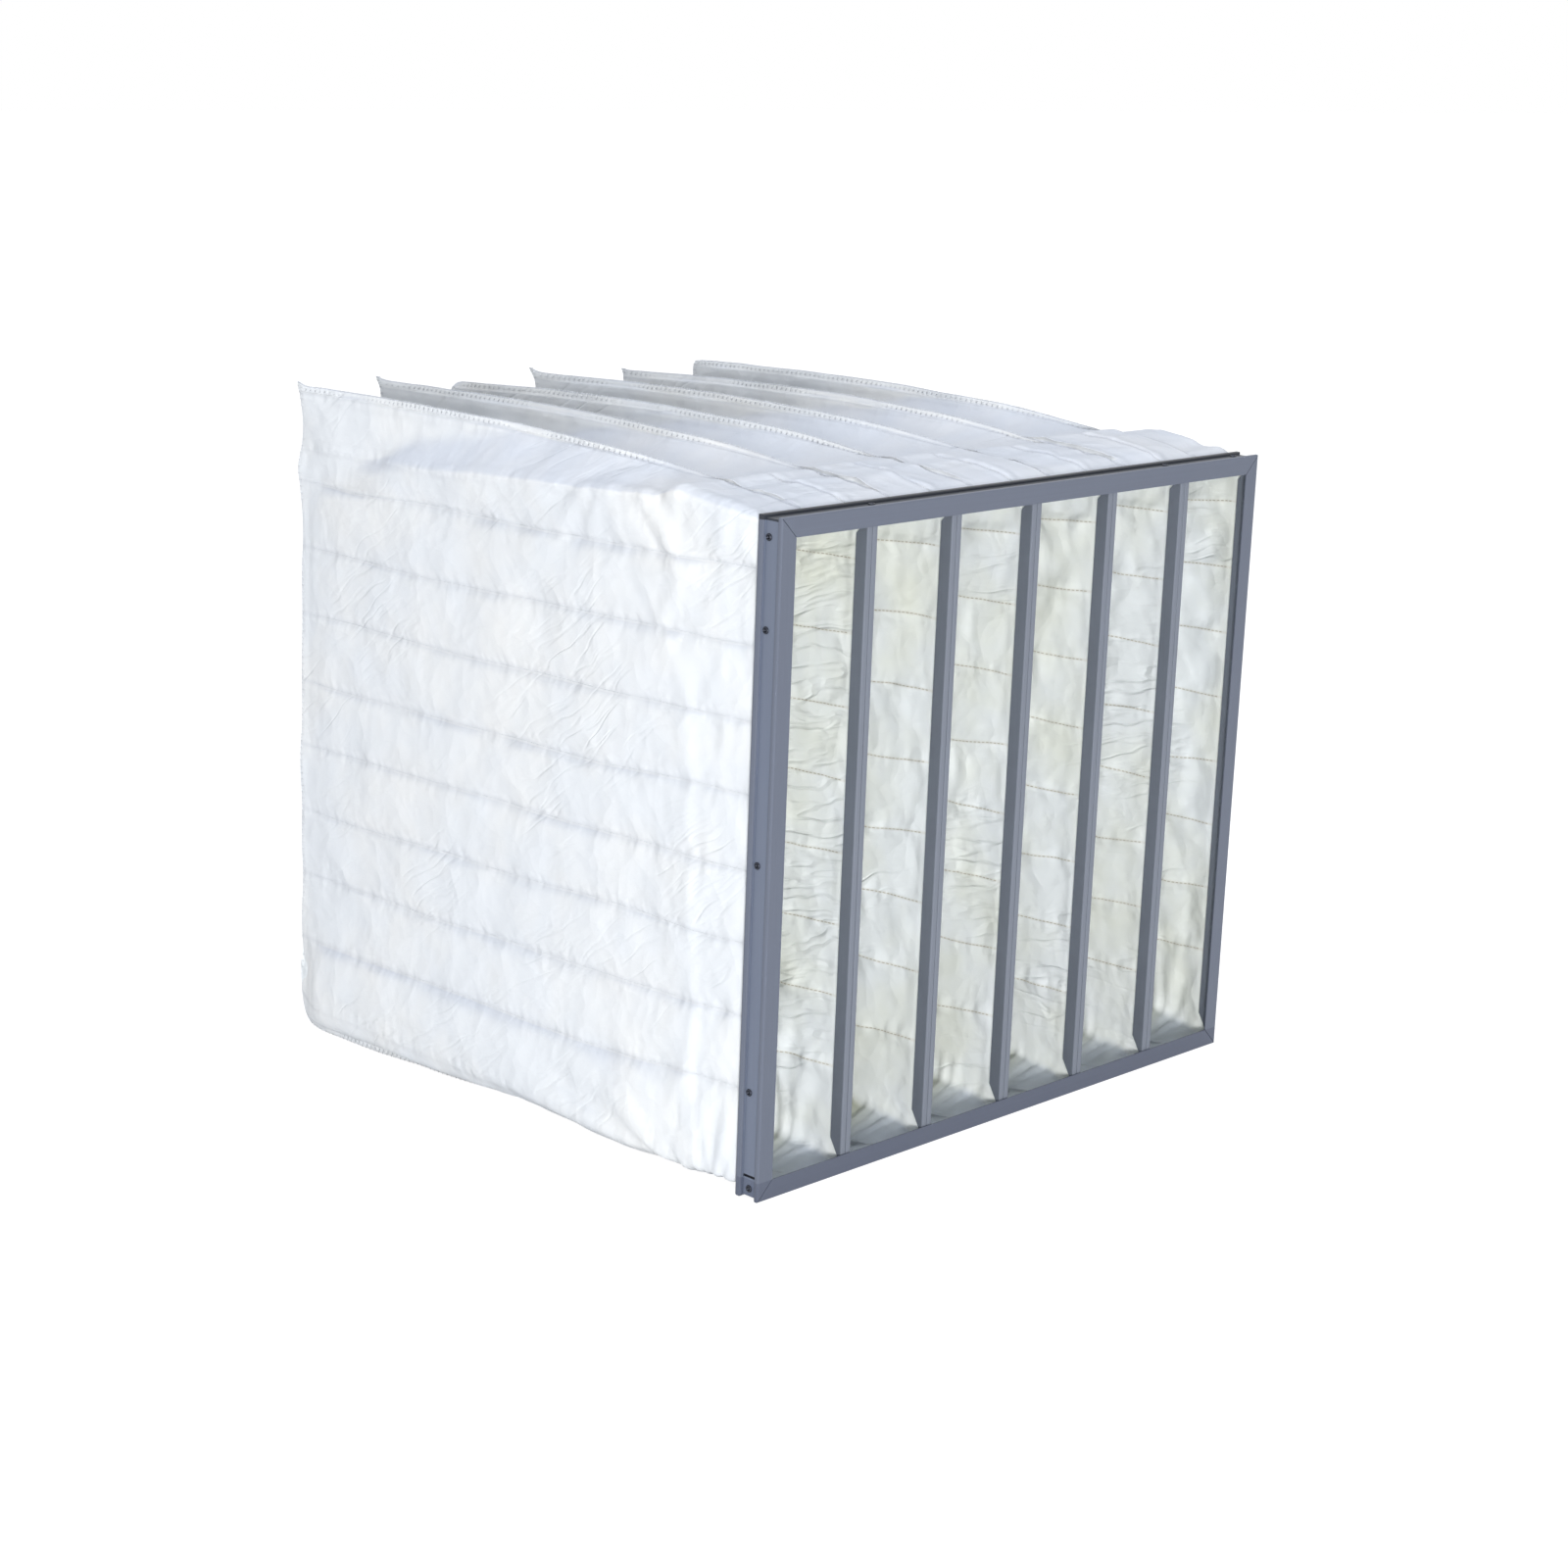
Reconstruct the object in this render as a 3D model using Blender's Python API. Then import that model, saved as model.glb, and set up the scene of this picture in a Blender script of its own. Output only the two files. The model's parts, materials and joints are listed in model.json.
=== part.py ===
"""Bag air filter: a folded header frame that carries six sewn wedge pockets in folded holders.

Metres, +Z up. Every piece is built upright, with the header's front face on y = 0, its lower
edge on z = 0 and the pockets running towards +Y. The stance empty then leans the whole filter
forward, so that it stands on the header's front lower edge and on the ends of the pockets.
"""
import math

import bmesh
import bpy
from mathutils import Matrix, Vector

# Driving dimensions of the header frame
HEADER_WIDTH = 0.592
HEADER_HEIGHT = 0.540
HEADER_DEPTH = 0.025
HEADER_SHEET = 0.001
FLANGE_WIDTH = 0.016
WEB_RECESS = 0.0022
FRONT_BEAD_DEPTH = 0.0044
REAR_BEAD_DEPTH = 0.0059
REAR_LIP_WIDTH = 0.0034
HEADER_BEND_RADIUS = 0.0008

# Driving dimensions of the pocket holders
POCKET_COUNT = 6
HOLDER_SHEET = 0.0007
CHANNEL_WIDTH = 0.0056
OUTER_LEG_DEPTH = 0.0180
INNER_LEG_DEPTH = 0.0118
HOLDER_BEND_RADIUS = 0.0006
NOTCH_RUN_TOP = 0.0140
NOTCH_RUN_BOTTOM = 0.0200

# Driving dimensions of the sewn pockets
POCKET_REACH = 0.650
POCKET_DROP = 0.032
TOP_RISE = 0.025
MEDIA_THICKNESS = 0.0021
SEAM_ALLOWANCE = 0.008
SEAM_ALLOWANCE_AT_MOUTH = 0.0005
SEAM_HALF_THICKNESS = 0.0010
REAR_SEAM_WIDTH = 0.012
ROW_COUNT = 8
ROW_PITCH = 0.060
PILLOW_HEIGHT = 0.0045
BELLY = 0.0030
BOTTOM_CORNER_RADIUS = 0.020
EAR_HEIGHT = 0.004
HEM_DEPTH = 0.017

# How each pocket's rear end hangs: sideways, to the right where positive, and its upper edge down
REAR_SWAY = (-0.0006, -0.0024, -0.0250, -0.0110, 0.0020, -0.0070)
REAR_SINK = (0.004, 0.006, 0.010, 0.010, 0.014, 0.008)
HANG_POWER = 3

# Form of the pockets: where things happen from 0 at the holder to 1 at the rear seam, and how fast
SEAM_UPRIGHT_FROM = 0.35
TOP_RISE_POWER = 3
FLOOR_POWER = 6
WALL_STATIONS = (0.04, 0.11, 0.21, 0.37, 0.56, 0.75, 0.90)
HOLLOW_END = 0.96
CORNER_SEAM_LIFT = 0.8
CORNER_FOLD_LIFT = 0.5
CORNER_STATION = 0.8

# Driving dimensions of the rivets
RIVET_SHANK_RADIUS = 0.0016
RIVET_HEAD_RADIUS = 0.0030
RIVET_HEAD_HEIGHT = 0.0010
RIVET_TAIL_RADIUS = 0.0024
RIVET_TAIL_LENGTH = 0.0011
RIVET_CROWN_SHARE = 0.62
RIVET_RIM_SHARE = 0.35
TAIL_SHOULDER_SHARE = 0.2
TAIL_END_SHARE = 0.7
RIVET_DEPTH = 0.0150
SIDE_RIVET_SPACING = 0.183
TOP_RIVET_OFFSET = 0.0367
CORNER_RIVET_INSET = 0.0165
TAB_RIVET_HEIGHT = 0.0084
TAB_RIVET_DEPTH = 0.0115

# Driving dimensions of the header's closing corner and mitres
TAB_LENGTH = 0.0173
TAB_SLOT_HEIGHT = 0.0022
TAB_MARGIN = 0.0008
SLIT_WIDTH = 0.0005
MITRE_START = 0.0010

# Clearances
FIT_GAP = 0.0003
HEM_GAP = 0.0004
RIVET_SEAT_GAP = 0.00015
RIVET_HOLE_CLEARANCE = 0.00025
CUT_OVERSHOOT = 0.001

# Fineness of the facets
BEND_SEGMENTS = 2
RIVET_SIDES = 10
FOLD_ANGLE = math.radians(20)
ROUND_ANGLE = math.radians(50)

# Sizes that follow from the driving dimensions
HOLDER_INSET = WEB_RECESS + HEADER_SHEET + FIT_GAP
HOLDER_FRONT = HEADER_SHEET + FIT_GAP
HOLDER_ROOM = HEADER_WIDTH - 2 * HOLDER_INSET
HOLDER_WIDTH = (HOLDER_ROOM - (POCKET_COUNT - 1) * FIT_GAP) / POCKET_COUNT
HOLDER_HEIGHT = HEADER_HEIGHT - 2 * HOLDER_INSET
POCKET_PITCH = HOLDER_WIDTH + FIT_GAP
HEM_INSET = CHANNEL_WIDTH - HOLDER_SHEET - HEM_GAP - MEDIA_THICKNESS
MOUTH_HALF_WIDTH = HOLDER_WIDTH / 2 - HEM_INSET
MOUTH_FRONT = HOLDER_FRONT + HOLDER_SHEET + 2 * FIT_GAP
MOUTH_BOTTOM = HOLDER_INSET + HEM_INSET
MOUTH_TOP = HEADER_HEIGHT - MOUTH_BOTTOM
MID_HEIGHT = HEADER_HEIGHT / 2
REAR_SEAM = POCKET_REACH - REAR_SEAM_WIDTH
LEAN = math.atan2(POCKET_DROP, POCKET_REACH)
FRONT_OVERHANG = HEADER_HEIGHT * math.sin(LEAN)
REAR_CORNER_DROP = POCKET_DROP - BOTTOM_CORNER_RADIUS
REAR_EXTENT = POCKET_REACH * math.cos(LEAN) + REAR_CORNER_DROP * math.sin(LEAN)

ALUMINIUM = ((0.185, 0.208, 0.262), 0.42, 0.85)
RIVET_METAL = ((0.42, 0.45, 0.49), 0.35, 0.90)
FILTER_MEDIA = ((0.83, 0.85, 0.86), 0.90, 0.0)


def clear_scene():
    for obj in list(bpy.data.objects):
        bpy.data.objects.remove(obj, do_unlink=True)


def material(name, look):
    colour, roughness, metallic = look
    made = bpy.data.materials.new(name)
    made.use_nodes = True
    shader = made.node_tree.nodes["Principled BSDF"]
    shader.inputs["Base Color"].default_value = (*colour, 1.0)
    shader.inputs["Roughness"].default_value = roughness
    shader.inputs["Metallic"].default_value = metallic
    return made


def finish_object(bm, name, parent, look=None, smooth_angle=FOLD_ANGLE):
    """Turn a bmesh into a named object that hangs from its parent."""
    bmesh.ops.recalc_face_normals(bm, faces=bm.faces)
    mesh = bpy.data.meshes.new(name)
    bm.to_mesh(mesh)
    bm.free()
    mesh.shade_smooth()
    mesh.set_sharp_from_angle(angle=smooth_angle)
    obj = bpy.data.objects.new(name, mesh)
    bpy.context.scene.collection.objects.link(obj)
    obj.parent = parent
    if look is not None:
        mesh.materials.append(material(name, look))
    return obj


def cut_with(target, bm, name):
    """Subtract a cutter's solids, which don't touch each other, from an object."""
    cutter = finish_object(bm, name, target.parent)
    cutter.location = target.location
    cutter.hide_render = True
    cutter.display_type = "WIRE"
    cut = target.modifiers.new(name, "BOOLEAN")
    cut.operation = "DIFFERENCE"
    cut.solver = "EXACT"
    cut.object = cutter


def skin(bm, loops, closed=True):
    """Lay quads between neighbouring rows of vertices that have the same count."""
    for near, far in zip(loops, loops[1:]):
        count = len(near)
        last = count if closed else count - 1
        for i in range(last):
            j = (i + 1) % count
            bm.faces.new((near[i], near[j], far[j], far[i]))


def rounded_path(path, radius):
    """Points along a bent centreline, each with the direction square to it."""
    points = []
    for i, corner in enumerate(path):
        before = (corner - path[i - 1]).normalized() if i > 0 else None
        after = (path[i + 1] - corner).normalized() if i < len(path) - 1 else None
        if before is None or after is None:
            along = after if before is None else before
            points.append((corner, Vector((-along.y, along.x))))
            continue
        turn = before.angle_signed(after)
        setback = radius * math.tan(abs(turn) / 2)
        side = -math.copysign(1.0, turn)
        start = corner - before * setback
        normal = Vector((-before.y, before.x))
        centre = start + normal * side * radius
        for step in range(BEND_SEGMENTS + 1):
            turned = Matrix.Rotation(-turn * step / BEND_SEGMENTS, 2) @ normal
            points.append((centre - turned * side * radius, turned))
    return points


def folded_section(path, sheet, radius):
    """The closed outline of a folded sheet, from its centreline."""
    line = rounded_path([Vector(point) for point in path], radius)
    one_side = [point + normal * sheet / 2 for point, normal in line]
    other_side = [point - normal * sheet / 2 for point, normal in reversed(line)]
    return one_side + other_side


def sweep_round_frame(bm, section, width, height, base):
    """Sweep a section of (inset, depth) points round a rectangle, mitred at its corners."""
    corners = ((-1, -1), (1, -1), (1, 1), (-1, 1))
    loops = []
    for side_x, side_z in corners:
        loop = []
        for inset, depth in section:
            x = side_x * (width / 2 - inset)
            z = base + height / 2 + side_z * (height / 2 - inset)
            loop.append(bm.verts.new((x, depth, z)))
        loops.append(loop)
    skin(bm, loops + loops[:1])


def add_box(bm, low, high, turn=Matrix.Identity(4)):
    """A box between two corners, then turned about the origin."""
    size = Vector(high) - Vector(low)
    middle = (Vector(high) + Vector(low)) / 2
    place = turn @ Matrix.Translation(middle) @ Matrix.Diagonal((*size, 1.0))
    bmesh.ops.create_cube(bm, size=1.0, matrix=place)


def rivet_seats():
    """Each rivet's name, the side that it sits on, its place along that side and its depth."""
    low = CORNER_RIVET_INSET
    high = HEADER_HEIGHT - CORNER_RIVET_INSET
    far = HEADER_WIDTH / 2 - CORNER_RIVET_INSET
    heights = (MID_HEIGHT - SIDE_RIVET_SPACING, MID_HEIGHT, MID_HEIGHT + SIDE_RIVET_SPACING)
    second = pocket_centre(POCKET_COUNT - 2) + TOP_RIVET_OFFSET
    places = {
        "left": [*heights, high],
        "right": [low, *heights],
        "top": [-second, second, far],
        "bottom": [-far, -second, second],
    }
    seats = [("rivet_tab", "left", TAB_RIVET_HEIGHT, TAB_RIVET_DEPTH)]
    for side, values in places.items():
        for number, along in enumerate(values, start=1):
            seats.append((f"rivet_{side}_{number}", side, along, RIVET_DEPTH))
    return seats


def seat_matrix(side, along, depth):
    """Where a rivet sits: its own +Z points out of the header and starts on the web."""
    out = HEADER_WIDTH / 2 - WEB_RECESS
    if side == "left":
        return Matrix.Translation((-out, depth, along)) @ Matrix.Rotation(-math.pi / 2, 4, "Y")
    if side == "right":
        return Matrix.Translation((out, depth, along)) @ Matrix.Rotation(math.pi / 2, 4, "Y")
    if side == "top":
        return Matrix.Translation((along, depth, HEADER_HEIGHT - WEB_RECESS))
    return Matrix.Translation((along, depth, WEB_RECESS)) @ Matrix.Rotation(math.pi, 4, "X")


def add_rivet_hole(bm, side, along, depth):
    """A cutter for one rivet's hole through the web and the holder's outer leg behind it."""
    top = CUT_OVERSHOOT
    bottom = -(HEADER_SHEET + FIT_GAP + HOLDER_SHEET + CUT_OVERSHOOT)
    place = seat_matrix(side, along, depth) @ Matrix.Translation((0, 0, (top + bottom) / 2))
    radius = RIVET_SHANK_RADIUS + RIVET_HOLE_CLEARANCE
    bmesh.ops.create_cone(
        bm, cap_ends=True, segments=RIVET_SIDES, radius1=radius, radius2=radius,
        depth=top - bottom, matrix=place,
    )


def build_header(stance):
    """One strip, folded round three corners and riveted shut at the fourth."""
    half = HEADER_SHEET / 2
    front = FRONT_BEAD_DEPTH - half
    rear = HEADER_DEPTH - REAR_BEAD_DEPTH + half
    path = (
        (FLANGE_WIDTH, half),
        (half, half),
        (half, front),
        (WEB_RECESS + half, front),
        (WEB_RECESS + half, rear),
        (half, rear),
        (half, HEADER_DEPTH - half),
        (REAR_LIP_WIDTH, HEADER_DEPTH - half),
    )
    bm = bmesh.new()
    section = folded_section(path, HEADER_SHEET, HEADER_BEND_RADIUS)
    sweep_round_frame(bm, section, HEADER_WIDTH, HEADER_HEIGHT, 0.0)
    header = finish_object(bm, "header_frame", stance, ALUMINIUM)
    cut_closing_corner(header)
    cut_mitres(header)
    holes = bmesh.new()
    for _, side, along, depth in rivet_seats():
        add_rivet_hole(holes, side, along, depth)
    cut_with(header, holes, "header_rivet_holes")


def mitre_turn(side_x, side_z):
    """Carries +X, from the origin, onto the line from a corner of the header inwards."""
    corner = Matrix.Translation((side_x * HEADER_WIDTH / 2, 0, MID_HEIGHT * (1 + side_z)))
    angle = math.atan2(side_z, -side_x)
    return corner @ Matrix.Rotation(angle, 4, "Y")


def cut_mitres(header):
    """The flange is notched to a thin mitre line at the three folded corners."""
    bm = bmesh.new()
    end = (FLANGE_WIDTH + CUT_OVERSHOOT) * math.sqrt(2)
    half = SLIT_WIDTH / 2
    for side_x, side_z in ((1, -1), (1, 1), (-1, 1)):
        low = (MITRE_START * math.sqrt(2), -CUT_OVERSHOOT, -half)
        high = (end, HEADER_SHEET + FIT_GAP, half)
        add_box(bm, low, high, mitre_turn(side_x, side_z))
    cut_with(header, bm, "header_mitres")


def cut_closing_corner(header):
    """The strip's two ends meet at the lower left, where the end tab fills the other web."""
    half = SLIT_WIDTH / 2
    tab_front = FRONT_BEAD_DEPTH + TAB_MARGIN
    tab_rear = HEADER_DEPTH - REAR_BEAD_DEPTH - TAB_MARGIN
    outside = -HEADER_WIDTH / 2 - CUT_OVERSHOOT
    inside = -HEADER_WIDTH / 2 + WEB_RECESS + HEADER_SHEET + CUT_OVERSHOOT
    end = (FLANGE_WIDTH + CUT_OVERSHOOT) * math.sqrt(2)
    back = HEADER_DEPTH + CUT_OVERSHOOT
    front_mid = tab_front - half
    rear_mid = tab_rear + half
    top = TAB_LENGTH + TAB_SLOT_HEIGHT / 2
    turn = mitre_turn(-1, -1)
    ends = bmesh.new()
    add_box(ends, (-CUT_OVERSHOOT, -CUT_OVERSHOOT, -half), (end, front_mid, half), turn)
    add_box(ends, (-CUT_OVERSHOOT, rear_mid, -half), (end, back, half), turn)
    add_box(ends, (outside, front_mid, TAB_LENGTH), (inside, rear_mid, TAB_LENGTH + TAB_SLOT_HEIGHT))
    cut_with(header, ends, "header_closing_gap")
    sides = bmesh.new()
    foot = WEB_RECESS / 2
    add_box(sides, (outside, tab_front - SLIT_WIDTH, foot), (inside, tab_front, top))
    add_box(sides, (outside, tab_rear, foot), (inside, tab_rear + SLIT_WIDTH, top))
    cut_with(header, sides, "header_tab_sides")


def pocket_centre(number):
    """The middle of a pocket, counted from 0 at the left."""
    return (number - (POCKET_COUNT - 1) / 2) * POCKET_PITCH


def add_notch(bm, side_x, side_z, run):
    """A tapered block that cuts the inner legs back at one corner of a holder."""
    x = side_x * (HOLDER_WIDTH / 2 - CHANNEL_WIDTH)
    z = HOLDER_INSET + HOLDER_HEIGHT / 2 + side_z * (HOLDER_HEIGHT / 2 - CHANNEL_WIDTH)
    outward = HOLDER_SHEET + FIT_GAP
    front = HOLDER_FRONT + HOLDER_SHEET + FIT_GAP
    rear = HOLDER_FRONT + INNER_LEG_DEPTH + CUT_OVERSHOOT
    loops = []
    for depth, inward in ((front, 0.0), (rear, run)):
        square = ((outward, outward), (-inward - FIT_GAP, outward),
                  (-inward - FIT_GAP, -inward - FIT_GAP), (outward, -inward - FIT_GAP))
        loops.append([bm.verts.new((x + side_x * dx, depth, z + side_z * dz)) for dx, dz in square])
    skin(bm, loops)
    bm.faces.new(loops[0])
    bm.faces.new(loops[1])


def build_holder(number, stance):
    """A folded channel round one pocket's mouth, its inner legs notched at the corners."""
    half = HOLDER_SHEET / 2
    path = (
        (half, HOLDER_FRONT + OUTER_LEG_DEPTH),
        (half, HOLDER_FRONT + half),
        (CHANNEL_WIDTH - half, HOLDER_FRONT + half),
        (CHANNEL_WIDTH - half, HOLDER_FRONT + INNER_LEG_DEPTH),
    )
    bm = bmesh.new()
    section = folded_section(path, HOLDER_SHEET, HOLDER_BEND_RADIUS)
    sweep_round_frame(bm, section, HOLDER_WIDTH, HOLDER_HEIGHT, HOLDER_INSET)
    holder = finish_object(bm, f"pocket_holder_{number + 1}", stance, ALUMINIUM)
    holder.location.x = pocket_centre(number)
    notches = bmesh.new()
    for side_x in (-1, 1):
        add_notch(notches, side_x, 1, NOTCH_RUN_TOP)
        add_notch(notches, side_x, -1, NOTCH_RUN_BOTTOM)
    cut_with(holder, notches, f"holder_notches_{number + 1}")
    cut_holder_rivet_holes(holder, number)


def cut_holder_rivet_holes(holder, number):
    """Only the rivets that pass through this holder's outer legs."""
    centre = pocket_centre(number)
    bm = bmesh.new()
    for _, side, along, depth in rivet_seats():
        if side == "left":
            ours = number == 0
        elif side == "right":
            ours = number == POCKET_COUNT - 1
        else:
            ours = abs(along - centre) < POCKET_PITCH / 2
        if ours:
            add_rivet_hole(bm, side, along, depth)
    bmesh.ops.translate(bm, verts=bm.verts, vec=(-centre, 0, 0))
    if bm.verts:
        cut_with(holder, bm, f"holder_rivet_holes_{number + 1}")
    else:
        bm.free()


def build_rivet(name, side, along, depth, stance):
    """A blind rivet: domed head, shank and the tail that swells behind the holder's leg."""
    grip = HEADER_SHEET + FIT_GAP + HOLDER_SHEET + RIVET_SEAT_GAP
    seat = RIVET_SEAT_GAP
    profile = (
        (RIVET_HEAD_RADIUS * RIVET_CROWN_SHARE, seat + RIVET_HEAD_HEIGHT),
        (RIVET_HEAD_RADIUS, seat + RIVET_HEAD_HEIGHT * RIVET_RIM_SHARE),
        (RIVET_HEAD_RADIUS, seat),
        (RIVET_SHANK_RADIUS, seat),
        (RIVET_SHANK_RADIUS, -grip),
        (RIVET_TAIL_RADIUS, -grip - RIVET_TAIL_LENGTH * TAIL_SHOULDER_SHARE),
        (RIVET_TAIL_RADIUS * TAIL_END_SHARE, -grip - RIVET_TAIL_LENGTH),
    )
    bm = bmesh.new()
    verts = [bm.verts.new((radius, 0, height)) for radius, height in profile]
    edges = [bm.edges.new(pair) for pair in zip(verts, verts[1:])]
    bmesh.ops.spin(
        bm, geom=verts + edges, cent=(0, 0, 0), axis=(0, 0, 1),
        angle=2 * math.pi, steps=RIVET_SIDES, use_merge=True,
    )
    bmesh.ops.holes_fill(bm, edges=[edge for edge in bm.edges if edge.is_boundary], sides=0)
    rivet = finish_object(bm, name, stance, RIVET_METAL, ROUND_ANGLE)
    rivet.matrix_local = seat_matrix(side, along, depth)


def along_pocket(depth):
    """0 where the pocket leaves its holder and 1 at the rear seam."""
    share = (depth - HOLDER_FRONT - HEM_DEPTH) / (REAR_SEAM - HOLDER_FRONT - HEM_DEPTH)
    return min(max(share, 0.0), 1.0)


def half_width(depth):
    """Half of the pocket's width over its stitched rows, outside the cloth."""
    share = along_pocket(depth)
    wedge = SEAM_HALF_THICKNESS + (MOUTH_HALF_WIDTH - SEAM_HALF_THICKNESS) * (1 - share)
    return wedge + BELLY * math.sin(math.pi * share)


def seam_allowance(depth):
    """The raw edges outside the seam lie folded at the mouth and stand up further back."""
    grown = min(along_pocket(depth) / SEAM_UPRIGHT_FROM, 1.0)
    return SEAM_ALLOWANCE_AT_MOUTH + (SEAM_ALLOWANCE - SEAM_ALLOWANCE_AT_MOUTH) * grown


def top_seam(depth):
    return MOUTH_TOP + TOP_RISE * (1 - (1 - along_pocket(depth)) ** TOP_RISE_POWER)


def bottom_seam(depth):
    """The lower raw edge settles from the mouth onto the floor, which the lean makes slant."""
    floor = -POCKET_DROP * depth / POCKET_REACH
    mouth_edge = MOUTH_BOTTOM - SEAM_ALLOWANCE_AT_MOUTH
    held = (1 - along_pocket(depth)) ** FLOOR_POWER
    return mouth_edge * held + floor * (1 - held) + seam_allowance(depth)


def knee_drop(depth):
    """How far the cloth falls from a seam to the fold that runs back from the mouth's corner."""
    return math.sqrt(max(MOUTH_HALF_WIDTH ** 2 - half_width(depth) ** 2, 0.0))


def corner_lift(depth):
    """The lower rear corner is sewn round instead of square."""
    past = depth - (POCKET_REACH - BOTTOM_CORNER_RADIUS)
    share = min(max(past / BOTTOM_CORNER_RADIUS, 0.0), 1.0)
    return BOTTOM_CORNER_RADIUS * (1 - math.sqrt(1 - share ** 2))


def row_heights():
    """The stitched rows run the length of both walls, at an even pitch."""
    first = MID_HEIGHT - ROW_PITCH * (ROW_COUNT - 1) / 2
    return [first + ROW_PITCH * number for number in range(ROW_COUNT)]


def outer_half_section(depth):
    """(x, z) points up the right side: seam edge, fold, stitched rows with pillows, seam edge."""
    half = half_width(depth)
    pillow = PILLOW_HEIGHT * math.sqrt(max(math.sin(math.pi * along_pocket(depth)), 0.0))
    lift = corner_lift(depth)
    low_seam = bottom_seam(depth)
    high_seam = top_seam(depth)
    allowance = seam_allowance(depth)
    ear = EAR_HEIGHT * max(0.0, (depth - REAR_SEAM) / REAR_SEAM_WIDTH)
    low_fold = low_seam + knee_drop(depth) + lift * CORNER_FOLD_LIFT
    high_fold = high_seam - knee_drop(depth)
    rows = row_heights()
    points = [(SEAM_HALF_THICKNESS, low_seam - allowance + lift)]
    points.append((SEAM_HALF_THICKNESS, low_seam + lift * CORNER_SEAM_LIFT))
    points.append((half, low_fold))
    stops = [low_fold, *rows, high_fold]
    for low, high in zip(stops, stops[1:]):
        points.append((half + pillow, (low + high) / 2))
        points.append((half, high))
    points.append((SEAM_HALF_THICKNESS, high_seam))
    points.append((SEAM_HALF_THICKNESS, high_seam + allowance + ear))
    return points


def inner_half_section(depth):
    """(x, z) points up the right side of the hollow, which narrows to nothing at both seams."""
    half = half_width(depth) - MEDIA_THICKNESS
    apex = MEDIA_THICKNESS * MOUTH_HALF_WIDTH / half_width(depth)
    low_seam = bottom_seam(depth) + apex
    high_seam = top_seam(depth) - apex
    drop = knee_drop(depth) + MEDIA_THICKNESS
    points = [(0.0, low_seam)]
    points.append((half, bottom_seam(depth) + drop))
    points.extend((half, height) for height in row_heights())
    points.append((half, top_seam(depth) - drop))
    points.append((0.0, high_seam))
    return points


def ring(bm, half_section, depth):
    """A closed loop of vertices from a half section that may start and end on the middle."""
    right = list(half_section)
    left = [(-x, z) for x, z in reversed(right) if x > 0]
    return [bm.verts.new((x, depth, z)) for x, z in right + left]


def outer_sides(loop):
    """The right and left halves of an outer ring, both listed upwards."""
    half = len(loop) // 2
    return loop[:half], loop[half:][::-1]


def inner_sides(loop):
    """The same for an inner ring, whose lowest and highest vertices belong to both halves."""
    half = len(loop) // 2
    return loop[:half + 1], loop[:1] + loop[half:][::-1]


def close_mouth(bm, outer, inner):
    """The hem's front edge, between the cloth's outer and inner faces."""
    outer_halves = outer_sides(outer)
    inner_halves = inner_sides(inner)
    last = len(outer_halves[0]) - 1
    stops = [0, *range(2, last, 2), last]
    for outside, inside in zip(outer_halves, inner_halves):
        for k, (low, high) in enumerate(zip(stops, stops[1:])):
            bm.faces.new([*outside[low:high + 1], inside[k + 1], inside[k]])
    for end in (0, -1):
        bm.faces.new((outer_halves[0][end], outer_halves[1][end], inner_halves[0][end]))


def close_hollow(bm, loop, depth):
    """The hollow ends where the two walls meet, along one upright line."""
    halves = inner_sides(loop)
    ends = [bm.verts.new((0.0, depth, vert.co.z)) for vert in halves[0][1:-1]]
    for side in halves:
        skin(bm, [side[1:-1], ends], closed=False)
        bm.faces.new((side[0], side[1], ends[0]))
        bm.faces.new((side[-2], side[-1], ends[-1]))


def build_pocket_mesh():
    """The sewn pocket: a cloth wall of even thickness, open at its mouth."""
    bm = bmesh.new()
    leave = HOLDER_FRONT + HEM_DEPTH
    span = REAR_SEAM - leave
    depths = [MOUTH_FRONT, leave] + [leave + span * share for share in WALL_STATIONS]
    corner = POCKET_REACH - BOTTOM_CORNER_RADIUS * (1 - CORNER_STATION)
    outer_depths = depths + [REAR_SEAM, corner, POCKET_REACH]
    outer = [ring(bm, outer_half_section(depth), depth) for depth in outer_depths]
    skin(bm, outer)
    skin(bm, outer_sides(outer[-1]), closed=False)
    inner = [ring(bm, inner_half_section(depth), depth) for depth in depths]
    skin(bm, inner)
    close_hollow(bm, inner[-1], leave + span * HOLLOW_END)
    close_mouth(bm, outer[0], inner[0])
    return bm


def hang_pocket(bm, number):
    """Lets a pocket's rear end swing to one side and its upper edge sag."""
    top_row = row_heights()[-1]
    for vert in bm.verts:
        share = along_pocket(vert.co.y) ** HANG_POWER
        raised = (vert.co.z - top_row) / (top_seam(vert.co.y) - top_row)
        vert.co.x += REAR_SWAY[number] * share
        vert.co.z -= REAR_SINK[number] * share * min(max(raised, 0.0), 1.0)


def build_pocket(number, stance):
    bm = build_pocket_mesh()
    hang_pocket(bm, number)
    pocket = finish_object(bm, f"filter_pocket_{number + 1}", stance, FILTER_MEDIA, ROUND_ANGLE)
    pocket.location.x = pocket_centre(number)


def build_stance():
    """Leans the filter forward and centres it over the origin."""
    stance = bpy.data.objects.new("stance", None)
    bpy.context.scene.collection.objects.link(stance)
    stance.location.y = (FRONT_OVERHANG - REAR_EXTENT) / 2
    stance.rotation_euler.x = LEAN
    return stance


def build_filter():
    clear_scene()
    stance = build_stance()
    build_header(stance)
    for number in range(POCKET_COUNT):
        build_holder(number, stance)
    for seat in rivet_seats():
        build_rivet(*seat, stance)
    for number in range(POCKET_COUNT):
        build_pocket(number, stance)


build_filter()
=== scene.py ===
import math
import random

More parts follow.
